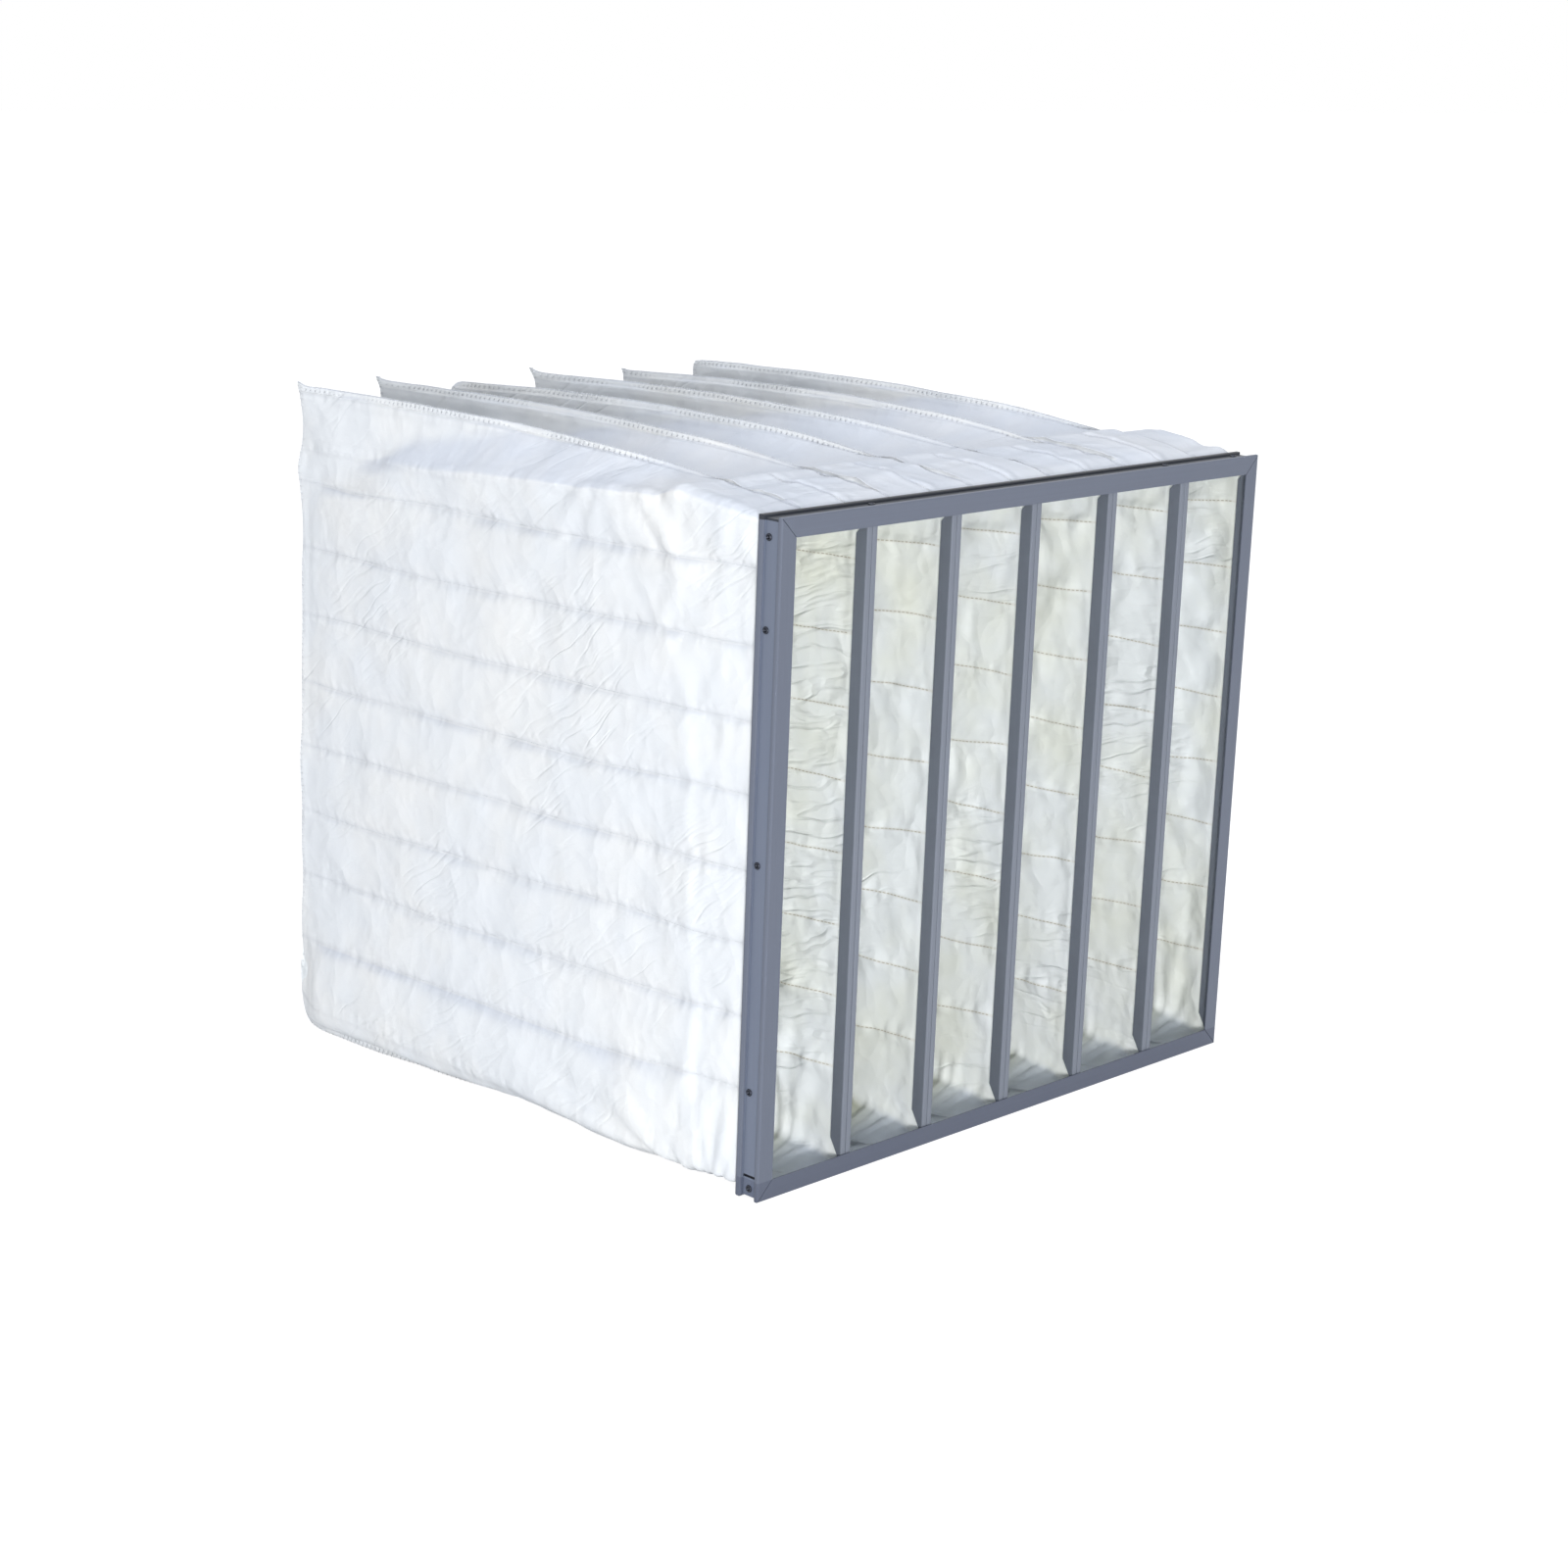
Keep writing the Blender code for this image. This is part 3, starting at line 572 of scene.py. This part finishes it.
def settle(pockets):
    """Lets each pocket's slightly full cloth settle between its seams and rows."""
    for pocket in pockets:
        held = pocket.vertex_groups.new(name="held")
        tight = pocket.vertex_groups.new(name="tight")
        marks = pocket.data.attributes["row"].data
        depths = pocket.data.attributes["depth"].data
        for vert in pocket.data.vertices:
            mark, depth = marks[vert.index].value, depths[vert.index].value
            held.add([vert.index], hold(mark, depth), "REPLACE")
            tight.add([vert.index], max(0.0, 1 - line_distance(mark) / 0.012), "REPLACE")
        cloth = pocket.modifiers.new("settle", "CLOTH")
        for name, value in CLOTH_SETTINGS.items():
            setattr(cloth.settings, name, value)
        cloth.settings.effector_weights.gravity = 0.3
        cloth.collision_settings.use_collision = False
    for step in range(1, SETTLE_STEPS + 1):
        bpy.context.scene.frame_set(step)
    graph = bpy.context.evaluated_depsgraph_get()
    for pocket in pockets:
        settled = pocket.evaluated_get(graph).data.vertices
        moves = [last.co - first.co for first, last in zip(pocket.data.vertices, settled)]
        for vert, move in zip(pocket.data.vertices, moves):
            vert.co += move * min(1.0, MOST_SHIFT / max(move.length, MOST_SHIFT * 0.01))
        pocket.modifiers.clear()
        pocket.vertex_groups.clear()
    bpy.context.scene.frame_set(1)


def facets(place, scale, seed):
    """Creased paper-like relief: flat facets that meet in soft ridges, from 0 to about 1."""
    distances, _ = noise.voronoi(place * scale + Vector((seed, seed * 0.7, 0)))
    return distances[0] - 0.35 * distances[1]


def pleat(turns):
    """A run of folds with sharp valleys and round ridges, from -1 to 1."""
    return 2 * abs(math.sin(math.pi * turns)) - 1


def fan(depth, z, focus, count, reach):
    """Folds that spread from a point on the cloth, from -1 to 1."""
    away = Vector((depth - focus[0], z - focus[1]))
    if away.length > reach or away.length < 0.001:
        return 0.0
    angle = math.atan2(away.y, away.x)
    fade = math.sin(math.pi * min(away.length / reach, 1.0)) ** 0.8
    bent = 0.5 * noise.noise(Vector((angle * 2, depth * 6, 1)))
    return pleat(angle * count / (2 * math.pi) + bent) * fade


# The crease that runs down each wall behind its holder, as (depth, height) points.
WALL_CREASE = (
    (0.113, 0.552), (0.134, 0.505), (0.116, 0.468), (0.137, 0.440), (0.102, 0.394),
    (0.099, 0.316), (0.092, 0.212), (0.082, 0.101), (0.099, 0.016),
)


def wall_crease(depth, z, shift):
    """A long crooked crease with a short slope in front and a longer one behind, 0 to 1."""
    for upper, lower in zip(WALL_CREASE, WALL_CREASE[1:]):
        if lower[1] <= z <= upper[1]:
            t = (upper[1] - z) / (upper[1] - lower[1])
            away = depth - shift - upper[0] - (lower[0] - upper[0]) * t
            return max(0.0, 1 - abs(away) / (0.012 if away < 0 else 0.026))
    return 0.0


# Heights of the relief's parts, in metres. Where there are two, the first is the first pocket's
# outer wall, which hangs smoother than the others.
BROAD_FACETS = 0.0026
FINE_FACETS = 0.0016
FRAME_FACETS = (0.0026, 0.0062)
MOUTH_FACETS = (0.0020, 0.0075)
MOUTH_FOLDS = 0.0034
SOFT_WAVES = 0.0014
CREASE_HEIGHT = 0.0019
ROW_PUCKER = 0.0011
ROW_GROOVE = 0.0022
HIGH_KNEE_FOLDS = 0.0038
LOW_KNEE_FOLDS = 0.0034
CORNER_FOLDS = 0.0024


def relief(number, side, mark, depth, z):
    """How far the cloth stands out from its smooth form, in metres."""
    if depth <= HEM_END or mark < SEAM_LOW or mark > SEAM_HIGH:
        return 0.0
    free = min((depth - HEM_END) / 0.02, 1.0) * min(max((REAR_SEAM - depth) / 0.03, 0.0), 1.0)
    seed = number * 3.1 + side * 1.7
    off_row = line_distance(mark)
    place = Vector((depth, z, 0))
    near_frame = math.exp(-((depth - 0.075) / 0.050) ** 2)
    smoother = number == 1 and side < 0
    kind = 0 if smoother else 1
    warp = 0.02 * noise.noise(place * 9 + Vector((0, 0, seed)))
    tall = Vector((depth + warp, (z + warp) * 0.55, 0))
    long = Vector(((depth + warp) * 0.55, z + warp, 0))
    out = BROAD_FACETS * facets(long, 17, seed) + FINE_FACETS * facets(long, 42, seed + 5)
    out += FRAME_FACETS[kind] * near_frame * facets(tall, 30, seed + 9)
    out += MOUTH_FACETS[kind] * math.exp(-depth / 0.12) * facets(long, 26, seed + 13)
    if not smoother:
        lying = noise.noise(Vector((depth * 5, z * 9, seed + 20)))
        folds = pleat(z / 0.034 + 0.9 * warp / 0.02 + 1.4 * depth / 0.1)
        out += MOUTH_FOLDS * max(0.0, lying) * math.exp(-depth / 0.15) * folds
    out += SOFT_WAVES * noise.noise(place * 14 + Vector((0, 0, seed + 2)))
    shift = 0.0 if smoother else 0.02 * noise.noise(Vector((seed, 4, 1)))
    out += CREASE_HEIGHT * wall_crease(depth + 0.5 * warp, z, shift)
    pucker = noise.noise(Vector((depth * 42, round(mark) * 2.3, seed)))
    out += ROW_PUCKER * pucker * math.exp(-(off_row / 0.012) ** 2)
    out -= ROW_GROOVE * math.exp(-(off_row / 0.0034) ** 2)
    high_knee = max(0.0, 1 - abs(mark - FOLD_HIGH) / 1.6)
    low_knee = max(0.0, 1 - abs(mark) / 1.4)
    focus = 0.185 + 0.02 * noise.noise(Vector((seed, 1, 1)))
    out += HIGH_KNEE_FOLDS * high_knee * fan(depth, z, (focus, 0.560), 14, 0.34)
    out += LOW_KNEE_FOLDS * low_knee * fan(depth, z, (0.060, -0.02), 18, 0.30)
    corner = math.exp(-((depth - 0.080) / 0.030) ** 2 - ((z - 0.04) / 0.035) ** 2)
    out += CORNER_FOLDS * corner * pleat((depth + 0.2 * z) / 0.034)
    return out * free


OUTER_ROOM = 0.004
CLOTH_GAP = 0.0006


def outline_limit(number, side):
    """Neighbouring pockets press against each other: half the pitch is the most room they have."""
    outer = (number == 1 and side < 0) or (number == POCKET_COUNT and side > 0)
    return POCKET_PITCH / 2 + (OUTER_ROOM if outer else -CLOTH_GAP)


CLOTH_ROUGHNESS = 0.80
SEEN_THROUGH = 0.15
ROW_SHADE_SHARE = 0.32
PAINTED_TOP_SHADE = (0.80, 0.82, 0.875)
TOP_SHADE_SLOPE = (0.20, 0.65)
KNEE_DEPTHS = (0.035, 0.090)
KNEE_SEEN_TO = 0.45
FACET_BUMPS = ((26.0, 0.0045), (70.0, 0.0014))


def smooth_step(material, value, start, end, first=0.0, last=1.0):
    """A smooth step of a value, from a first number at its start to a last one at its end."""
    node = add_node(
        material, "ShaderNodeMapRange", interpolation_type="SMOOTHSTEP",
        From_Min=start, From_Max=end, To_Min=first, To_Max=last,
    )
    material.node_tree.links.new(value, node.inputs["Value"])
    return node.outputs[0]


def pushed(material, place, warp, reach):
    """A place, moved a little by the colours of a noise."""
    node = add_node(material, "ShaderNodeVectorMath", operation="MULTIPLY_ADD")
    node.inputs[1].default_value = (reach, reach, reach)
    material.node_tree.links.new(warp, node.inputs[0])
    material.node_tree.links.new(place, node.inputs[2])
    return node.outputs[0]


def cloth_colour(made, place, row, depth, off_row, colours, row_shade_width, seed, knee):
    """Faint blotches, and painted shade along the rows, on upward faces and in the lower knees."""
    links = made.node_tree.links
    # The third colour, thread, is the painted shade along the stitched rows.
    colour, blotch, thread = colours
    spots = texture(
        made, "ShaderNodeTexNoise", place,
        noise_dimensions="4D", W=seed, Scale=9.0, Detail=3.0, Roughness=0.6,
    )
    ramp = add_node(made, "ShaderNodeValToRGB")
    for element, position, value in zip(ramp.color_ramp.elements, (0.42, 0.74), (colour, blotch)):
        element.position = position
        element.color = (*value, 1)
    links.new(spots.outputs["Fac"], ramp.inputs["Fac"])

    # The painted row shade is left out at the folds, which are whole numbers of rows too: 0 and 9.
    whole = combine(made, "ROUND", row)
    from_middle = combine(made, "ABSOLUTE", combine(made, "SUBTRACT", whole, 4.5))
    to_fold = combine(made, "ABSOLUTE", combine(made, "SUBTRACT", from_middle, 4.5))
    sewn = combine(made, "GREATER_THAN", to_fold, 0.25)
    line = smooth_step(made, off_row, 0.004, row_shade_width, 1.0, 0.0)
    row_shade_amount = combine(made, "MULTIPLY", line, sewn)
    painted_row_shade = add_node(made, "ShaderNodeMix", data_type="RGBA", blend_type="MIX")
    painted_row_shade.inputs["B"].default_value = (*thread, 1)
    links.new(combine(made, "MULTIPLY", row_shade_amount, ROW_SHADE_SHARE), painted_row_shade.inputs["Factor"])
    links.new(ramp.outputs["Color"], painted_row_shade.inputs["A"])
    surface = painted_row_shade.outputs["Result"]

    # Outside, faces that look upwards are painted darker: painted shade.
    if knee is None:
        way_up = add_node(made, "ShaderNodeSeparateXYZ")
        links.new(add_node(made, "ShaderNodeNewGeometry").outputs["Normal"], way_up.inputs[0])
        lying = smooth_step(made, way_up.outputs["Z"], *TOP_SHADE_SLOPE)
        return tinted(made, lying, surface, PAINTED_TOP_SHADE)
    deeper = add_node(made, "ShaderNodeMix", data_type="RGBA", blend_type="MIX")
    deeper.inputs["A"].default_value = (*knee[0], 1)
    deeper.inputs["B"].default_value = (*knee[1], 1)
    links.new(smooth_step(made, depth, *KNEE_DEPTHS), deeper.inputs["Factor"])
    in_knee = smooth_step(made, row, 0.06, -0.06)
    seen = combine(made, "LESS_THAN", depth, KNEE_SEEN_TO)
    where = combine(made, "MULTIPLY", in_knee, seen)
    return tinted(made, where, surface, deeper.outputs["Result"])


def cloth_normal(made, place, row, depth, off_row, wrinkle_angle, wrinkle_height):
    """Fine creases, straight wrinkles in patches, gathers along the rows, and fibres."""
    links = made.node_tree.links
    warp = texture(
        made, "ShaderNodeTexNoise", place, Scale=12.0, Detail=2.0
    ).outputs["Color"]
    shifted = pushed(made, place, warp, 0.05)
    normal = None
    for scale, distance in FACET_BUMPS:
        creases = texture(made, "ShaderNodeTexVoronoi", shifted, Scale=scale)
        normal = add_bump(made, creases.outputs["Distance"], 0.5, distance, normal)
    turned = texture(
        made, "ShaderNodeMapping", pushed(made, place, warp, 0.025),
        vector_type="TEXTURE", Rotation=(wrinkle_angle, 0, 0), Scale=(0.10, 0.10, 0.017),
    )
    lines = texture(
        made, "ShaderNodeTexNoise", turned.outputs[0], Scale=1.0, Detail=2.0, Roughness=0.45
    )
    crease = combine(made, "SUBTRACT", lines.outputs["Fac"], 0.5)
    crease = combine(made, "MINIMUM", combine(made, "ABSOLUTE", crease), 0.06)
    patches = texture(made, "ShaderNodeTexNoise", place, Scale=7.0, Detail=1.0)
    shown = smooth_step(made, patches.outputs["Fac"], 0.46, 0.66)
    normal = add_bump(
        made, combine(made, "MULTIPLY", crease, shown), 1.0, wrinkle_height, normal
    )
    along = add_node(made, "ShaderNodeCombineXYZ")
    links.new(combine(made, "MULTIPLY", depth, 75.0), along.inputs["X"])
    links.new(combine(made, "MULTIPLY", row, 1.3), along.inputs["Y"])
    gathers = texture(made, "ShaderNodeTexNoise", along.outputs[0], Scale=1.0, Detail=1.0)
    near = smooth_step(made, off_row, 0.0, 0.26, 1.0, 0.0)
    gathered = combine(made, "MULTIPLY", gathers.outputs["Fac"], near)
    normal = add_bump(made, gathered, 0.6, 0.004, normal)
    fibres = texture(made, "ShaderNodeTexNoise", place, Scale=600.0, Detail=3.0)
    return add_bump(made, fibres.outputs["Fac"], 0.15, 0.0004, normal)


def cloth_material(name, colours, row_shade_width, wrinkle_angle, wrinkle_height, seed, knee=None):
    """Thin nonwoven: matt, slightly see-through, with fibres, creases and painted row shade."""
    made, links, shader = new_material(name, colours[0], CLOTH_ROUGHNESS)
    place = add_node(made, "ShaderNodeTexCoord").outputs["Object"]
    row = add_node(made, "ShaderNodeAttribute", attribute_name="row").outputs["Fac"]
    depth = add_node(made, "ShaderNodeAttribute", attribute_name="depth").outputs["Fac"]
    off_row = combine(made, "SUBTRACT", row, combine(made, "ROUND", row))
    off_row = combine(made, "ABSOLUTE", off_row)
    surface = cloth_colour(made, place, row, depth, off_row, colours, row_shade_width, seed, knee)
    links.new(surface, shader.inputs["Base Color"])
    normal = cloth_normal(made, place, row, depth, off_row, wrinkle_angle, wrinkle_height)
    links.new(normal, shader.inputs["Normal"])
    through = add_node(made, "ShaderNodeBsdfTranslucent")
    links.new(surface, through.inputs["Color"])
    mix = add_node(made, "ShaderNodeMixShader", Fac=SEEN_THROUGH)
    links.new(shader.outputs[0], mix.inputs[1])
    links.new(through.outputs[0], mix.inputs[2])
    links.new(mix.outputs[0], made.node_tree.nodes["Material Output"].inputs["Surface"])
    return made


# Each is (colour, blotch, row shade): the row shade darkens the cloth along the stitched rows as
# painted shade of their grooves.
OUTER_COLOURS = ((0.80, 0.825, 0.85), (0.86, 0.86, 0.845), (0.60, 0.62, 0.66))
# The inner face is paler than the outer face of the same cloth: painted light inside the pockets.
INNER_COLOURS = ((0.89, 0.925, 0.935), (0.86, 0.88, 0.785), (0.66, 0.63, 0.54))
KNEE_SHADE = ((0.62, 0.65, 0.72), (0.42, 0.42, 0.32))
outer_cloth = cloth_material(
    "nonwoven_outer", OUTER_COLOURS, 0.060, math.radians(-35), 0.008, 0.0
)
inner_cloth = cloth_material(
    "nonwoven_inner", INNER_COLOURS, 0.030, math.radians(-10), 0.017, 4.0, KNEE_SHADE
)

pockets = []
for number in range(1, POCKET_COUNT + 1):
    pockets.append(add_piece(f"sewn_pocket_{number}", lay_pocket(number)))

settle(pockets)

for number, pocket in enumerate(pockets, start=1):
    finer = pocket.modifiers.new("finer", "SUBSURF")
    finer.levels = 1
    finer.render_levels = 1
    graph = bpy.context.evaluated_depsgraph_get()
    fine = bpy.data.meshes.new_from_object(pocket.evaluated_get(graph))
    fine.name = f"sewn_pocket_{number}"
    pocket.modifiers.clear()
    pocket.data = fine
    marks = fine.attributes["row"].data
    depths = fine.attributes["depth"].data
    normals = [vert.normal.copy() for vert in fine.vertices]
    for vert, normal in zip(fine.vertices, normals):
        mark, depth = marks[vert.index].value, depths[vert.index].value
        middle = pocket_centre(number, depth)
        side = 1 if vert.co.x > middle else -1
        vert.co += normal * relief(number, side, mark, depth, vert.co.z)
        place = (number - (POCKET_COUNT + 1) / 2) * POCKET_PITCH
        room = outline_limit(number, side)
        if depth < 0.12:
            vert.co.x = place + max(-room, min(room, vert.co.x - place))
        floor_level = FLOOR_CLEARANCE - POCKET_DROP * vert.co.y / POCKET_REACH
        vert.co.z = max(vert.co.z, floor_level)
    fine.transform(STANCE)
    fine.shade_smooth()
    thick = pocket.modifiers.new("thick", "SOLIDIFY")
    thick.thickness = CLOTH_THICKNESS
    thick.offset = -1
    thick.thickness_clamp = 0.5
    thick.material_offset = 1
    give_material(pocket, outer_cloth, inner_cloth)
    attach(pocket, "root")
    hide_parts(f"filter_pocket_{number}")

# The stitched rows' thread
# A lockstitch: outside a white thread lies in its groove, and inside each stitch shows in a dark
# beige that is painted shade of its groove.
OUTER_THREAD_RADIUS = 0.00022
THREAD_RADIUS = 0.00036
THREAD_CLEARANCE = 0.0001
FIRST_STITCH = 0.002
STITCH_PITCH = 0.0040
STITCH_LENGTH = 0.0026


def row_lines(pocket, number):
    """The cloth's points on each stitched row and side, from the holder to the rear seam."""
    lines = {}
    marks = pocket.data.attributes["row"].data
    depths = pocket.data.attributes["depth"].data
    for vert in pocket.data.vertices:
        mark, depth = marks[vert.index].value, depths[vert.index].value
        if not 0.9 < mark < ROW_COUNT + 0.1 or not HEM_END < depth < REAR_SEAM:
            continue
        if abs(mark - round(mark)) < 0.002:
            side = vert.co.x > pocket_centre(number, depth)
            line = lines.setdefault((round(mark), side), [])
            line.append((depth, vert.co.copy(), vert.normal.copy()))
    return [sorted(line, key=lambda point: point[0]) for line in lines.values()]


def on_line(line, depth):
    """The place and the normal at a depth on a line of points."""
    for near, far in zip(line, line[1:]):
        if near[0] <= depth <= far[0]:
            t = (depth - near[0]) / (far[0] - near[0])
            return near[1].lerp(far[1], t), near[2].lerp(far[2], t).normalized()
    return line[-1][1], line[-1][2]


def sew(name, runs, radius, material):
    """A thread that follows each run of points, as a mesh."""
    curve = bpy.data.curves.new(name, "CURVE")
    curve.dimensions = "3D"
    curve.bevel_depth = radius
    curve.bevel_resolution = 0
    for run in runs:
        spline = curve.splines.new("POLY")
        spline.points.add(len(run) - 1)
        for point, place in zip(spline.points, run):
            point.co = (*place, 1)
    holder = bpy.data.objects.new(name, curve)
    bpy.context.scene.collection.objects.link(holder)
    graph = bpy.context.evaluated_depsgraph_get()
    mesh = bpy.data.meshes.new_from_object(holder.evaluated_get(graph))
    mesh.name = name
    bpy.data.objects.remove(holder)
    thread = bpy.data.objects.new(name, mesh)
    bpy.context.scene.collection.objects.link(thread)
    give_material(thread, material)
    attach(thread, "root")


def thread_material(name, colour):
    made, links, shader = new_material(name, colour, 0.7)
    place = add_node(made, "ShaderNodeTexCoord").outputs["Object"]
    twist = texture(made, "ShaderNodeTexWave", place, Scale=900.0, Distortion=2.0)
    links.new(add_bump(made, twist.outputs["Fac"], 0.4, 0.0002), shader.inputs["Normal"])
    return made


outer_thread = thread_material("outer_thread", (0.74, 0.76, 0.79))
inner_thread_painted_dark = thread_material("inner_thread_painted_dark", (0.50, 0.46, 0.38))
for number, pocket in enumerate(pockets, start=1):
    outside, inside = [], []
    for line in row_lines(pocket, number):
        outside.append([place + normal * THREAD_CLEARANCE for _, place, normal in line[::2]])
        start = line[0][0] + FIRST_STITCH
        while start + STITCH_LENGTH < line[-1][0]:
            ends = [on_line(line, start + reach) for reach in (0.0, STITCH_LENGTH)]
            sunk = CLOTH_THICKNESS + THREAD_CLEARANCE
            inside.append([place - normal * sunk for place, normal in ends])
            start += STITCH_PITCH
    sew(f"row_thread_{number}", outside, OUTER_THREAD_RADIUS, outer_thread)
    sew(f"row_stitches_{number}", inside, THREAD_RADIUS, inner_thread_painted_dark)

# The overlocked edges
# The raw edges at the top, the rear and the bottom are bound by a white overlock thread, which
# gives the rear edge its small teeth.
OVERLOCK_RADIUS = 0.00034
OVERLOCK_PITCH = 0.006
OVERLOCK_BITE = 0.0042
OVERLOCK_PAST_EDGE = 0.0004
OVERLOCK_FROM = 0.05
edge_thread = thread_material("overlock_thread", (0.80, 0.825, 0.85))
for number, pocket in enumerate(pockets, start=1):
    marks = pocket.data.attributes["row"].data
    depths = pocket.data.attributes["depth"].data
    top, rear, low = [], [], []
    for vert in pocket.data.vertices:
        mark, depth = marks[vert.index].value, depths[vert.index].value
        if depth > POCKET_REACH - 0.00005:
            rear.append((-vert.co.z, vert.co.copy()))
        elif mark > TIP_HIGH - 0.01 and depth > OVERLOCK_FROM:
            top.append((depth, vert.co.copy()))
        elif mark < TIP_LOW + 0.01 and depth > OVERLOCK_FROM:
            low.append((-depth, vert.co.copy()))
    run = []
    for edge, inward in ((top, (0, 0, -1)), (rear, (0, -1, 0)), (low, (0, 0, 1))):
        edge.sort(key=lambda point: point[0])
        inward = STANCE.to_3x3() @ Vector(inward)
        line = [(key, place, inward) for key, place in edge]
        at = line[0][0]
        side = 1
        while at < line[-1][0]:
            place, _ = on_line(line, at)
            across = Vector((side * (SEAM_HALF_THICKNESS + 0.0003), 0, 0))
            run.append(place + inward * OVERLOCK_BITE + across)
            run.append(place - inward * OVERLOCK_PAST_EDGE)
            at += OVERLOCK_PITCH / 2
            side = -side
    sew(f"edge_thread_{number}", [run], OVERLOCK_RADIUS, edge_thread)

# The floor and the backdrop
# A plain pale floor and white surroundings, both pure white where the camera sees them.
FLOOR_SIZE = 400.0


def show_by_ray(made, output, light, picture):
    """Lights the scene with one shader and shows another to the camera and in reflections."""
    rays = add_node(made, "ShaderNodeLightPath").outputs
    seen = combine(made, "ADD", rays["Is Camera Ray"], rays["Is Glossy Ray"])
    seen.node.use_clamp = True
    seen = combine(made, "ADD", seen, rays["Is Transmission Ray"])
    seen.node.use_clamp = True
    mix = add_node(made, "ShaderNodeMixShader")
    for slot, socket in enumerate((seen, light, picture)):
        made.node_tree.links.new(socket, mix.inputs[slot])
    made.node_tree.links.new(mix.outputs[0], add_node(made, output).inputs["Surface"])


bm = bmesh.new()
bmesh.ops.create_grid(bm, x_segments=1, y_segments=1, size=FLOOR_SIZE / 2)
floor = add_piece("floor", bm)
floor_paint = bpy.data.materials.new("pale_floor")
floor_paint.use_nodes = True
floor_paint.node_tree.nodes.clear()
plain = add_node(floor_paint, "ShaderNodeBsdfDiffuse", Color=(0.75, 0.76, 0.78, 1))
glow = add_node(floor_paint, "ShaderNodeEmission", Color=(1, 1, 1, 1), Strength=0.90)
shade = add_node(floor_paint, "ShaderNodeBsdfDiffuse", Color=(0.30, 0.30, 0.30, 1))
both = add_node(floor_paint, "ShaderNodeAddShader")
floor_paint.node_tree.links.new(glow.outputs[0], both.inputs[0])
floor_paint.node_tree.links.new(shade.outputs[0], both.inputs[1])
show_by_ray(floor_paint, "ShaderNodeOutputMaterial", plain.outputs[0], both.outputs[0])
give_material(floor, floor_paint)

world = bpy.data.worlds.new("white_surroundings")
bpy.context.scene.world = world
world.use_nodes = True
world.node_tree.nodes.clear()
ambient = add_node(world, "ShaderNodeBackground", Color=(0.93, 0.955, 1.0, 1), Strength=0.72)
white = add_node(world, "ShaderNodeBackground", Color=(1, 1, 1, 1), Strength=1.0)
show_by_ray(world, "ShaderNodeOutputWorld", ambient.outputs[0], white.outputs[0])

# The lamps
# One low soft lamp at the front left, which lights the left wall and the mouths, and a weak one
# above.
LAMPS_AIM = Vector((0, 0, 0.3))


def soft_lamp(name, place, size, power, colour):
    lamp = bpy.data.lights.new(name, "AREA")
    lamp.shape = "DISK"
    lamp.size = size
    lamp.energy = power
    lamp.color = colour
    holder = bpy.data.objects.new(name, lamp)
    bpy.context.scene.collection.objects.link(holder)
    holder.location = place
    aim = LAMPS_AIM - Vector(place)
    holder.rotation_euler = aim.to_track_quat("-Z", "Y").to_euler()


soft_lamp("key_lamp", (-3.0, -3.55, 0.55), 0.9, 158, (1.0, 0.995, 0.985))
soft_lamp("upper_lamp", (0.0, 0.2, 4.4), 2.4, 66, (0.96, 0.97, 1.0))

# The camera
# It stands at the front left, level, as in the photo: placed from the header's front lower edge.
CAMERA_FROM_EDGE = Vector((-1.9137, -1.6096, 0.8392))
CAMERA_AZIMUTH = math.radians(-45.66)
CAMERA_ELEVATION = math.radians(12.46)
CAMERA_ROLL = math.radians(0.09)
CAMERA_LENS = 70.98
camera_data = bpy.data.cameras.new("photo_camera")
camera_data.lens = CAMERA_LENS
camera_data.sensor_width = 36
camera = bpy.data.objects.new("photo_camera", camera_data)
bpy.context.scene.collection.objects.link(camera)
turn = (
    Matrix.Rotation(CAMERA_AZIMUTH, 4, "Z")
    @ Matrix.Rotation(math.pi / 2 - CAMERA_ELEVATION, 4, "X")
    @ Matrix.Rotation(CAMERA_ROLL, 4, "Z")
)
camera.matrix_world = Matrix.Translation(FRONT_EDGE + CAMERA_FROM_EDGE) @ turn
bpy.context.scene.camera = camera
bpy.context.scene.view_settings.view_transform = "Standard"
